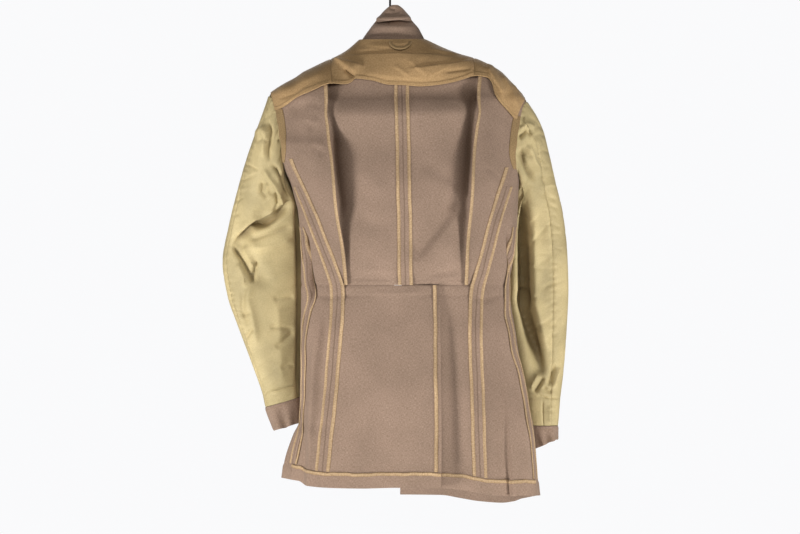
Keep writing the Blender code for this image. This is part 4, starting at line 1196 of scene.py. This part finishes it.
def strip(name, slot, top, foot, table, start, end, thick, curl=0.0, seam_line=False, sway=1.0):
    """A strip along a seam with softly rounded edges; an allowance has its seam down the middle."""
    level = steps(top, foot, FINE)[:, None]
    columns = 9 if seam_line else 7
    aside = np.linspace(start, end, columns)[None, :]
    share = np.linspace(-1, 1, columns)[None, :]
    round_top = thick * rounded(share, 0.3)
    # Painted shade on the strip's edges, or down the seam's groove on an allowance
    strip_shade = shaded_edges(share)
    if seam_line:
        groove = np.exp(-(share / 0.16) ** 2)
        round_top = thick * (1.0 - 0.85 * groove)
        strip_shade = -EDGE_SHADE * FULL_SHADE_DEPTH * groove
    wander = sway * (0.35 * np.sin(level / 23.0 + start) + 0.2 * np.sin(level / 9.0 + 2 * start))
    outer = on_seam(table, level, aside + wander, BED + round_top + 0.0 * level, curl)
    inner = on_seam(table, level, aside + wander, BED - 0.3 + 0.0 * level, curl)
    cut = strip_cut(outer, end - start, thick, folded=not seam_line)
    return dress(shell(name + "_cloth", outer, inner, strip_shade + 0.0 * level), slot, name, cut)


SIDE_TOPS = {"left": -272.0, "right": -287.0}
SIDE_SEAM_START = -255.0


def nearer_middle(side, first, second):
    """Whichever of two places across lies nearer the middle of the back."""
    return np.maximum(first, second) if side == "left" else np.minimum(first, second)


def under_edge(side):
    """Edge of an upper back, where it runs on beneath the pleat."""
    def edge(level):
        x = PLEATS[side]("x", level) - INWARD[side] * PLEAT("under", level)
        theta = theta_of(nearer_middle(side, BODY(side, level), x), level)
        return nudge(theta, level, INWARD[side] * HALF_GAP)
    return edge


def outer_edge(side):
    """Edge of an outer back: the shoulder, then the armhole, then the side-back seam."""
    def edge(level):
        x = np.where(level > ARMHOLES[side][0], BODY(side, level), arm_x(side, level))
        sewn = nearer_middle(side, x, BACK_SEAMS[side]("x", level))
        x = np.where(level < SIDE_SEAM_START, sewn, x)
        return nudge(theta_of(x, level), level, INWARD[side] * (HALF_GAP + EASE))
    return edge


def side_edge(side):
    """Edge of a side panel: the armhole, then the side seam."""
    def edge(level):
        x = np.where(level > ARMHOLES[side][1], arm_x(side, level), SIDE_SEAMS[side]("x", level))
        return nudge(theta_of(x, level), level, INWARD[side] * (HALF_GAP + EASE))
    return edge


def vent_under(level):
    return theta_of(VENT("x", level) - VENT_UNDER, level)


def back_panels():
    panel("back_upper_left", NECK, UPPER_FOOT, under_edge("left"), seam(CENTRE, -HALF_GAP), pockets=POCKETS)
    panel("back_upper_right", NECK, UPPER_FOOT, seam(CENTRE, HALF_GAP), under_edge("right"), pockets=POCKETS)
    panel("back_outer_left", OUTER_TOP, UPPER_FOOT, outer_edge("left"), seam(PLEAT_LEFT),
          stand_off_of(PLEAT_LEFT, "left"))
    panel("back_outer_right", OUTER_TOP, UPPER_FOOT, seam(PLEAT_RIGHT), outer_edge("right"),
          stand_off_of(PLEAT_RIGHT, "right"))
    panel("skirt_back_left", SKIRT_TOP, HEM, seam(BACK_SEAM_LEFT, HALF_GAP), seam(VENT),
          stand_off_of(VENT, "vent"))
    panel("skirt_back_right", SKIRT_TOP, HEM, vent_under, seam(BACK_SEAM_RIGHT, -HALF_GAP))
    panel("side_left", SIDE_TOPS["left"], HEM, side_edge("left"), seam(BACK_SEAM_LEFT, -HALF_GAP))
    panel("side_right", SIDE_TOPS["right"], HEM, seam(BACK_SEAM_RIGHT, HALF_GAP), side_edge("right"))


def shoulder_rise(top):
    """How far a front stands off along the shoulder, where it meets the yoke."""
    def value(theta, level):
        near_ridge = fade(1 - (np.abs(theta) - RIDGE) / 0.3)
        return FRONT_RISE * near_ridge * fade((level - top) / 12)
    return value


def far_edge(side):
    """Outer edge of a front: the shoulder ridge, then the armhole, then the side seam."""
    top, bottom, _ = ARMHOLES[side]
    sign = -INWARD[side]

    def edge(level):
        arm = sign * np.pi - theta_of(arm_x(side, level), level)
        sewn = nudge(theta_of(SIDE_SEAMS[side]("x", level), level), level, sign * (HALF_GAP + EASE))
        ridge = np.full_like(level, sign * RIDGE)
        theta = np.where(level > top, ridge, np.where(level > bottom, arm, sewn))
        aside = np.where(level > top, RIDGE_GAP, ARM_ASIDE)
        return np.where(level > bottom, theta + sign * aside, theta)
    return edge


def chest_edge(side):
    """Edge of a front at the middle of the chest."""
    return lambda level: -INWARD[side] * np.pi - theta_of(FRONTS[side]("x", level), level)


def front_panels():
    for side in INWARD:
        rise = shoulder_rise(ARMHOLES[side][0])
        panel("front_" + side, NECK, HEM, chest_edge(side), far_edge(side), rise, size=COARSE)


# Yoke: its mesh, its turned hem, the grooves of its seams, how its ends lie down, and the shoulders' middle
YOKE_ROWS = 60
YOKE_STEP = 2.0
YOKE_HEM_WIDE = 6.5
YOKE_HEM_RISE = 0.9
YOKE_HEM_SEWN = 4.6
YOKE_GROOVE_DEEP = 0.9
YOKE_GROOVE_WIDE = 1.6
YOKE_ENDS_BLEND = 24.0
YOKE_CREASE_GAIN = 1.25
SHOULDER_MIDDLE = 4.0


def yoke_lift(theta, level, x, down):
    """How far the yoke stands off the torso, and its creases alone."""
    lie_down = fade((x - YOKE_ENDS[0]) / YOKE_ENDS_BLEND) * fade((YOKE_ENDS[1] - x) / YOKE_ENDS_BLEND)
    rise = yoke_cover(theta, level) + YOKE_RISE * (0.2 + 0.8 * lie_down)
    rise = rise + body_relief(theta, level) * 0.4
    height = relief(YOKE_CREASES, x, level, YOKE_CREASE_GAIN, 1.0, SHARP) * fade(down / 0.12)
    return rise + height, height


def ridge_level(x):
    """Level of the shoulder ridge above a place across the shoulders."""
    level = np.arange(-190.0, -88.0, 0.5)
    left = np.interp(-x, -BODY("left", level)[::-1], level[::-1])
    right = np.interp(x, BODY("right", level)[::-1], level[::-1])
    return np.minimum(np.where(x < SHOULDER_MIDDLE, left, right) - 0.2, YOKE_TOP)


def yoke():
    lower, upper = YOKE_SEAMS
    pieces = (("yoke_left", (YOKE_ENDS[0], -191), (lower - 0.3, lower - 0.3)),
              ("yoke_centre", (lower, lower), (upper, upper)),
              ("yoke_right", (upper + 0.3, upper + 0.3), (YOKE_ENDS[1], 210)))
    hems = []
    for name, start, end in pieces:
        share = np.linspace(0, 1, int((end[0] - start[0]) / YOKE_STEP))[None, :]
        down = np.linspace(0, 1, YOKE_ROWS)[:, None] ** 1.4
        left = start[0] * (1 - down) + start[1] * down
        right = end[0] * (1 - down) + end[1] * down
        x = left * (1 - share) + right * share
        level = ridge_level(x) * (1 - down) + YOKE_EDGE("level", x) * down
        theta = theta_of(x, level)
        on_ridge = (down == 0) & (level < YOKE_TOP)
        theta = np.where(on_ridge, np.sign(x - SHOULDER_MIDDLE) * (RIDGE - RIDGE_GAP), theta)
        down = np.broadcast_to(down, x.shape)
        rise, height = yoke_lift(theta, level, x, down)
        from_edge = level - YOKE_EDGE("level", x)
        rolled = YOKE_HEM_RISE * fade((YOKE_HEM_WIDE - from_edge) / 1.5) * (down > 0.5)
        grooves = sum(np.exp(-((x - place) / YOKE_GROOVE_WIDE) ** 2) for place in YOKE_SEAMS)
        rise = rise + rolled - YOKE_GROOVE_DEEP * grooves
        outer = on_body(theta, level, rise + COTTON)
        inner = on_body(theta, level, rise - rolled)
        cut = cut_of(on_body(theta, level, rise - height))
        # Painted shade in the yoke's crease troughs, counted 0.6 mm deeper than they are so that narrow
        # grooves darken sooner
        dress(shell(name + "_cloth", outer, inner, height - 0.6), "yoke_cotton", name, cut)
        edge = YOKE_EDGE("level", x[-1]) + YOKE_HEM_SEWN
        edge_theta = theta_of(x[-1], edge)
        edge_rise, _ = yoke_lift(edge_theta, edge, x[-1], np.ones_like(edge))
        hems.append(on_body(edge_theta, edge, edge_rise + COTTON + YOKE_HEM_RISE + 0.05))
    dress(sewing("yoke_hem_stitches", hems), "facing_cotton")


def facings():
    lines = []
    for side, sign in INWARD.items():
        top, bottom, _ = ARMHOLES[side]
        degrees = np.linspace(*FACING_SPAN[side], 48)[:, None]
        level = (top + bottom) / 2 + (top - bottom) / 2 * np.cos(np.radians(degrees))
        share = np.linspace(0, 1, 9)[None, :]
        wide = FACING_WIDE("wide", degrees)
        aside = 0.5 + (wide - 0.5) * share
        theta = theta_of(arm_x(side, level) + sign * aside, level)
        level = np.broadcast_to(level, theta.shape)
        ripple = 0.5 * np.sin(degrees / 5.0) * (1 - share)
        base = cover(theta, level) + body_relief(theta, level) + BED + 0.3
        top_side = base + COTTON * rounded(2 * share - 1, 0.4, 6) + ripple
        name = "armhole_facing_" + side
        inner = on_body(theta, level, base)
        thing = shell(name + "_cloth", on_body(theta, level, top_side), inner)
        dress(thing, "facing_cotton", name, cut_of(inner))
        lines.append(on_body(theta[:, 7], level[:, 7], top_side[:, 7] + 0.1))
    dress(sewing("facing_stitches", lines), "binding_tape")


# Sleeves: millimetres down the arm for each row, mesh rows and degrees, seams, puckers and crinkles
ROW_DROP = 52.0
SLEEVE_ROWS = 270
SLEEVE_STEP = 2.5
SLEEVE_GAP = 0.3
SLEEVE_GROOVE_DEEP = 1.1
SLEEVE_GROOVE_WIDE = 2.2
PUCKER_HIGH = 0.8
PUCKER_TURN = 0.16
HEAD_PUCKER_HIGH = 0.9
CRINKLE_DEEP = 1.3
# Cuffs: mesh, how proud they stand, rows of stitches, and ripples as height, waves round and start
CUFF_ROWS = 22
CUFF_STEP = 3.6
CUFF_PROUD = 0.9
CUFF_SEWN = (CUFF_ROW + 0.16, LAST_ROW - 0.22)
CUFF_RIPPLES = ((3.0, 3, 0.8), (2.2, 7, 2))


def puckers(side, phi, row):
    """Small puckers along the seam behind the arm and round the sleeve's head."""
    behind = np.radians(ARM_SEAMS[side][0])
    turn = np.mod(phi - behind + np.pi, 2 * np.pi) - np.pi
    along = row * ROW_DROP
    wave = np.sin(along / 1.6 + 1.3 * np.sin(along / 17.0)) * (0.6 + 0.4 * np.sin(along / 41.0))
    sewn = PUCKER_HIGH * wave * np.exp(-(turn / PUCKER_TURN) ** 2) * fade(row)
    head = np.sin(phi * 34.0 + 2 * np.sin(phi * 5)) * np.exp(-(row / 0.35) ** 2) * fade(row / 0.12)
    return sewn + HEAD_PUCKER_HIGH * head


def crinkles(x, y, z):
    """Fine crinkles of the lining, in patches."""
    wave = z / 9.0 + 1.1 * np.sin(x / 19.0 + 0.6) + 0.8 * np.sin(z / 61.0 + x / 37.0)
    wave = wave + 1.6 * np.sin(y / 13.0 + z / 47.0)
    patchy = fade(0.4 + 0.7 * np.sin(x / 26.0 + z / 43.0 + y / 11.0))
    return -CRINKLE_DEEP * (1 - np.abs(np.sin(wave))) ** 3 * patchy


def sleeve_height(side, phi, row):
    """Creases of a sleeve: the near side's, the far side's, fine crinkles and puckers."""
    point = sleeve(side)(phi, row)
    x, y, z = point[..., 0], point[..., 1], point[..., 2]
    sine = np.sin(phi)
    near = relief(SLEEVE_NEAR[side], x, z, SLEEVE_DEPTH, SLEEVE_NARROW, SHARP) * fade(sine / NEAR_BLEND)
    far = relief(SLEEVE_FAR[side], x, z) * fade(-sine / NEAR_BLEND)
    return (near + far + crinkles(x, y, z)) * fade(row / 0.5) + puckers(side, phi, row)


def sleeve_linings(side):
    behind, front = ARM_SEAMS[side]
    spans = (("sleeve_under_" + side, behind + SLEEVE_GAP, front - SLEEVE_GAP),
             ("sleeve_top_" + side, front + SLEEVE_GAP, behind + 360 - SLEEVE_GAP))
    row = np.linspace(0, CUFF_ROW - 0.03, SLEEVE_ROWS)[:, None]
    for name, start, end in spans:
        degrees = steps(start, end, SLEEVE_STEP)[None, :]
        phi, rows = np.broadcast_arrays(np.radians(degrees), row)
        height = sleeve_height(side, phi, rows)
        edge = np.minimum(degrees - start, end - degrees)
        groove = -SLEEVE_GROOVE_DEEP * np.exp(-(edge / SLEEVE_GROOVE_WIDE) ** 2)
        outer = on_sleeve(side, phi, rows, (height + groove)[..., None])
        inner = on_sleeve(side, phi, rows, (height + groove - LINING)[..., None])
        smooth = on_sleeve(side, phi, rows, np.zeros_like(height)[..., None])
        dress(shell(name + "_cloth", outer, inner, height), "sleeve_sateen", name, cut_of(smooth))


def cuff_ripple(phi, down):
    return sum(height * np.sin(phi * waves + start) * down for height, waves, start in CUFF_RIPPLES)


def cuff(side):
    """The turned wool end of a sleeve; gives back the lines of its stitches."""
    degrees = np.arange(0, 360, CUFF_STEP)[None, :]
    row = np.linspace(CUFF_ROW, LAST_ROW, CUFF_ROWS)[:, None]
    phi, rows = np.broadcast_arrays(np.radians(degrees), row)
    down = rows - CUFF_ROW
    ripple = cuff_ripple(phi, down)
    lip = -0.8 * np.exp(-(down / 0.06) ** 2) - 0.9 * np.exp(-((down - 1) / 0.05) ** 2)
    height = ripple + lip + CUFF_PROUD
    outer = on_sleeve(side, phi, rows, height[..., None])
    inner = on_sleeve(side, phi, rows, (height - WOOL)[..., None])
    smooth = on_sleeve(side, phi, rows, np.zeros_like(height)[..., None])
    smooth = np.concatenate([smooth, smooth[:, :1]], axis=1)
    # Painted shade in the cuff's ripple troughs, stronger than their depth alone gives
    thing = shell("cuff_" + side + "_cloth", outer, inner, 1.6 * ripple - 2, ring=True)
    dress(thing, "wool", "cuff_" + side, cut_of(smooth))
    lines = []
    turn = np.radians(np.arange(0, 360, 4.0))
    for place in CUFF_SEWN:
        lift = CUFF_PROUD + cuff_ripple(turn, place - CUFF_ROW) + 0.05
        lines.append(on_sleeve(side, turn, np.full_like(turn, place), lift[..., None]))
    return lines


def sleeves():
    lines = []
    for side in INWARD:
        sleeve_linings(side)
        lines.extend(cuff(side))
    dress(sewing("cuff_stitches", lines), "facing_cotton")


def collar_wall():
    level = steps(COLLAR_FOOT, COLLAR_TOP, 1.0)[:, None]
    share = np.linspace(-1, 1, 91)[None, :]
    theta = np.radians(COLLAR("round", level)) * share
    level = np.broadcast_to(level, theta.shape)
    normal = outward(collar, theta, level, 0.01, 0.2)
    point = collar(theta, level)
    height = relief(COLLAR_CREASES, point[..., 0], point[..., 2]) * fade(np.cos(theta) / CREASE_BLEND)
    outer = point + normal * height[..., None]
    thing = shell("collar_cloth", outer, outer - normal * WOOL, height)
    dress(thing, "wool", "collar", cut_of(point))


def seam_stitches(table, aside, start, foot, height, curl=0.0):
    """A line for stitches on top of a tape, at a distance from a seam."""
    level = steps(start, foot, 6.0)[:, None]
    return on_seam(table, level, np.full_like(level, aside), BED + height + 0.02, curl)[:, 0]


def seams_and_tapes():
    # Seam, its line, where its allowance and its two tapes begin, where they end, and how they curl
    runs = (
        ("centre", CENTRE, OUTER_TOP - 14, OUTER_TOP - 14, OUTER_TOP - 14, UPPER_FOOT, 0.0),
        ("back_seam_left", BACK_SEAM_LEFT, -334.0, -334.0, -287.0, TAPE_END, 0.0),
        ("back_seam_right", BACK_SEAM_RIGHT, -334.0, -302.0, -334.0, TAPE_END, 0.0),
        ("side_seam_left", SIDE_LEFT, -402.0, -402.0, -402.0, TAPE_END, 1.2),
        ("side_seam_right", SIDE_RIGHT, -402.0, -402.0, -402.0, TAPE_END, 1.2),
    )
    lines = []
    for name, table, top, top_a, top_b, foot, curl in runs:
        at_side = name.startswith("side")
        reach = SIDE_ALLOWANCE if at_side else ALLOWANCE
        wide = SIDE_TAPE_WIDE if at_side else TAPE_WIDE
        sway = SIDE_SWAY if at_side else 1.0
        near, far = reach - wide / 2, reach + wide / 2
        strip(name + "_allowance", "wool", top, foot, table, -near - 1, near + 1, ALLOWANCE_THICK, curl,
              seam_line=True, sway=sway)
        strip(name + "_tape_a", "binding_tape", top_a, foot, table, -far, -near, TAPE_THICK, curl, sway=sway)
        strip(name + "_tape_b", "binding_tape", top_b, foot, table, near, far, TAPE_THICK, curl, sway=sway)
        for aside, start in ((-near - 1.3, top_a), (near + 1.3, top_b)):
            lines.append(seam_stitches(table, aside, start, foot, TAPE_THICK, curl))
    # Tape on a free edge, its line, its ends, its two edges, where it is sewn, and how it wanders
    edges = (
        ("pleat_tape_left", PLEAT_LEFT, -164.0, UPPER_FOOT, -6.0, -0.1, -4.8, 0.0),
        ("pleat_tape_right", PLEAT_RIGHT, -138.0, UPPER_FOOT, 0.1, 6.0, 4.8, 0.0),
        ("vent_tape", VENT, SKIRT_TOP, TAPE_END, -11.5, -5.5, -6.7, 1.0),
    )
    for name, table, top, foot, start, end, sewn, sway in edges:
        strip(name, "binding_tape", top, foot, table, start, end, EDGE_TAPE_THICK, sway=sway)
        lines.append(seam_stitches(table, sewn, top, foot, EDGE_TAPE_THICK))
    dress(sewing("tape_stitches", lines), "facing_cotton")


def hem_tapes():
    vent = VENT("x", TAPE_MIDDLE)
    spans = (
        ("hem_tape_left", SIDE_LEFT("x", TAPE_MIDDLE), vent - 1.0),
        ("hem_tape_right", vent + 1.0, SIDE_RIGHT("x", TAPE_MIDDLE)),
    )
    lines = []
    for name, start, end in spans:
        theta = steps(theta_of(start, TAPE_MIDDLE), theta_of(end, TAPE_MIDDLE), 0.012)[None, :]
        share = np.linspace(0, 1, 7)[:, None]
        wander = 0.5 * np.sin(theta * 19) + 0.3 * np.sin(theta * 47 + 1)
        level = TAPE_TOP * (1 - share) + TAPE_LOW * share + wander
        theta = np.broadcast_to(theta, level.shape)
        base = cover(theta, np.full_like(level, TAPE_LOW)) + body_relief(theta, level) + BED
        top_side = base + EDGE_TAPE_THICK * rounded(2 * share - 1, 0.3)
        # Painted shade along the hem tape's edges
        strip_shade = shaded_edges(2 * share - 1) + 0.0 * theta
        outer = on_body(theta, level, top_side)
        thing = shell(name + "_cloth", outer, on_body(theta, level, base - 1.3), strip_shade)
        cut = strip_cut(outer.swapaxes(0, 1), TAPE_TOP - TAPE_LOW, EDGE_TAPE_THICK)
        dress(thing, "binding_tape", name, cut)
        for row in (1, 5):
            lines.append(on_body(theta[row], level[row], top_side[row] + 0.1))
    dress(sewing("hem_stitches", lines), "facing_cotton")


def belt_stitching():
    lines = []
    for row in BELT_ROWS:
        theta = steps(theta_of(SIDE_LEFT("x", row), row), theta_of(SIDE_RIGHT("x", row), row), 0.02)
        level = np.full_like(theta, row) + 0.5 * np.sin(theta * 9)
        base = cover(theta, level) + body_relief(theta, level) + waist_groove(level)
        lines.append(on_body(theta, level, base + 0.12))
    dress(sewing("belt_stitches", lines), "wool")


def hanger_loop():
    turn = np.linspace(0, np.pi, 48)[:, None]
    reach = np.linspace(0, 1, 8)[None, :]
    x = LOOP_MIDDLE[0] + (LOOP_HALF - LOOP_WIDE * reach) * np.cos(turn)
    level = LOOP_MIDDLE[1] - (LOOP_DROP - LOOP_WIDE * reach) * np.sin(turn)
    theta = theta_of(x, level)
    bulge = LOOP_THICK * rounded(2 * reach - 1, 0.4)
    base = yoke_cover(theta, level) + YOKE_RISE + COTTON + LOOP_CLEAR + LOOP_LIFT * np.sin(turn)
    outer = on_body(theta, level, base + bulge)
    thing = shell("hanger_loop_cloth", outer, on_body(theta, level, base))
    dress(thing, "facing_cotton", "hanger_loop", strip_cut(outer, LOOP_WIDE, LOOP_THICK))


def hanger():
    tops = []
    for sign, first, last in BAR_ARMS:
        level = np.linspace(first, last, 24)
        tops.append(on_body(np.full(24, sign * RIDGE), level, np.full(24, -(WOOL + BAR_CLEAR))))
    middle = np.array(((-40, 0, -8), (0, 0, 0), (45, 0, -5)), float) + (0, 0, BAR_MIDDLE_TOP)
    line = np.concatenate([tops[0], middle, tops[1]])
    x = np.linspace(line[0, 0], line[-1, 0], 90)
    z = np.interp(x, line[:, 0], line[:, 2]) - BAR_TALL
    for _ in range(6):
        z[1:-1] = (z[:-2] + 2 * z[1:-1] + z[2:]) / 4
    path = np.stack([x, np.zeros_like(x), z], -1)
    bar = tube("hanger_bar_wood", path, 24, BAR_THICK, squash=(BAR_THICK, BAR_TALL))
    dress(bar, "hanger_wood", "hanger_bar")

    radius = HOOK_INSIDE + WIRE
    arc = np.radians(np.linspace(*HOOK_ARC, 60))
    path = [(0.0, radius * np.cos(a), -HOOK_INSIDE + radius * np.sin(a)) for a in arc]
    _, y_end, z_end = path[-1]
    for share in np.linspace(0.1, 1.0, 14):
        path.append((0.0, y_end * (1 - fade(share)), z_end - HOOK_NECK * share))
    path.append((0.0, 0.0, (path[-1][2] + BAR_MIDDLE_TOP) / 2))
    path.append((0.0, 0.0, BAR_MIDDLE_TOP - 1.0))
    dress(tube("hanger_hook_wire", path, 16, WIRE), "hook_wire", "hanger_hook")


back_panels()
front_panels()
yoke()
facings()
sleeves()
collar_wall()
seams_and_tapes()
hem_tapes()
belt_stitching()
hanger_loop()
hanger()

# Picture: 800 by 534 pixels, seen straight along +Y from far off
PICTURE_WIDE = 1344.0
PICTURE_MIDDLE = (16.8, -468.7)
VIEW_PLANE = -30.0
VIEW_FAR = 8000.0
SENSOR = 36.0
# Lamps, in metres and watts: place, power, width, height, colour
LAMP_AIM = (0.02, 0.0, -0.80)
LAMPS = (
    ("lamp_left", (-1.48, -0.95, -1.22), 37.0, 0.40, 0.40, (1.0, 0.985, 0.96)),
    ("lamp_right", (1.52, -0.95, -1.22), 33.0, 0.40, 0.40, (1.0, 0.985, 0.96)),
    ("lamp_front", (0.1, -3.0, 0.9), 44.0, 1.6, 1.0, (1.0, 0.97, 0.93)),
    ("lamp_behind", (0.0, 3.0, 1.2), 60.0, 1.6, 1.6, (1.0, 0.99, 0.98)),
)
FLOOR_HALF = 2.0
FLOOR_LEVEL = -2.1


def camera():
    lens = bpy.data.cameras.new("camera")
    lens.sensor_width = SENSOR
    lens.lens = SENSOR * VIEW_FAR / PICTURE_WIDE
    lens.clip_end = 60.0
    eye = bpy.data.objects.new("camera", lens)
    eye.location = (PICTURE_MIDDLE[0] * MM, (VIEW_PLANE - VIEW_FAR) * MM, PICTURE_MIDDLE[1] * MM)
    eye.rotation_euler = (np.pi / 2, 0.0, 0.0)
    bpy.context.scene.collection.objects.link(eye)
    bpy.context.scene.camera = eye


def lamp(name, place, aim, power, wide, tall, colour):
    light = bpy.data.lights.new(name, "AREA")
    light.shape = "RECTANGLE"
    light.size, light.size_y = wide, tall
    light.energy = power
    light.color = colour
    thing = bpy.data.objects.new(name, light)
    thing.location = place
    toward = np.subtract(aim, place)
    flat = np.hypot(toward[0], toward[1])
    thing.rotation_euler = (np.arctan2(flat, -toward[2]), 0.0, np.arctan2(-toward[0], toward[1]))
    bpy.context.scene.collection.objects.link(thing)


def studio():
    world = bpy.data.worlds.new("studio")
    bpy.context.scene.world = world
    world.use_nodes = True
    tree = world.node_tree
    tree.nodes.clear()
    out = tree.nodes.new("ShaderNodeOutputWorld")
    mix = tree.nodes.new("ShaderNodeMixShader")
    path = tree.nodes.new("ShaderNodeLightPath")
    fill = tree.nodes.new("ShaderNodeBackground")
    fill.inputs["Color"].default_value = (1.0, 0.96, 0.91, 1.0)
    fill.inputs["Strength"].default_value = 0.08
    seen = tree.nodes.new("ShaderNodeBackground")
    seen.inputs["Color"].default_value = (0.955, 0.957, 0.968, 1.0)
    seen.inputs["Strength"].default_value = 1.0
    link(tree, path, "Is Camera Ray", mix, "Fac")
    tree.links.new(fill.outputs["Background"], mix.inputs[1])
    tree.links.new(seen.outputs["Background"], mix.inputs[2])
    link(tree, mix, "Shader", out, "Surface")
    for name, place, power, wide, tall, colour in LAMPS:
        lamp(name, place, LAMP_AIM, power, wide, tall, colour)
    bpy.context.scene.view_settings.view_transform = "Standard"


def floor():
    mesh = bpy.data.meshes.new("floor")
    corners = [(x * FLOOR_HALF, y * FLOOR_HALF, FLOOR_LEVEL) for x, y in ((-1, -1), (1, -1), (1, 1), (-1, 1))]
    mesh.from_pydata(corners, [], [(0, 1, 2, 3)])
    material, _, shader = new_material("floor")
    shader.inputs["Base Color"].default_value = (0.92, 0.92, 0.925, 1.0)
    shader.inputs["Roughness"].default_value = 0.9
    mesh.materials.append(material)
    thing = bpy.data.objects.new("floor", mesh)
    bpy.context.scene.collection.objects.link(thing)


camera()
studio()
floor()
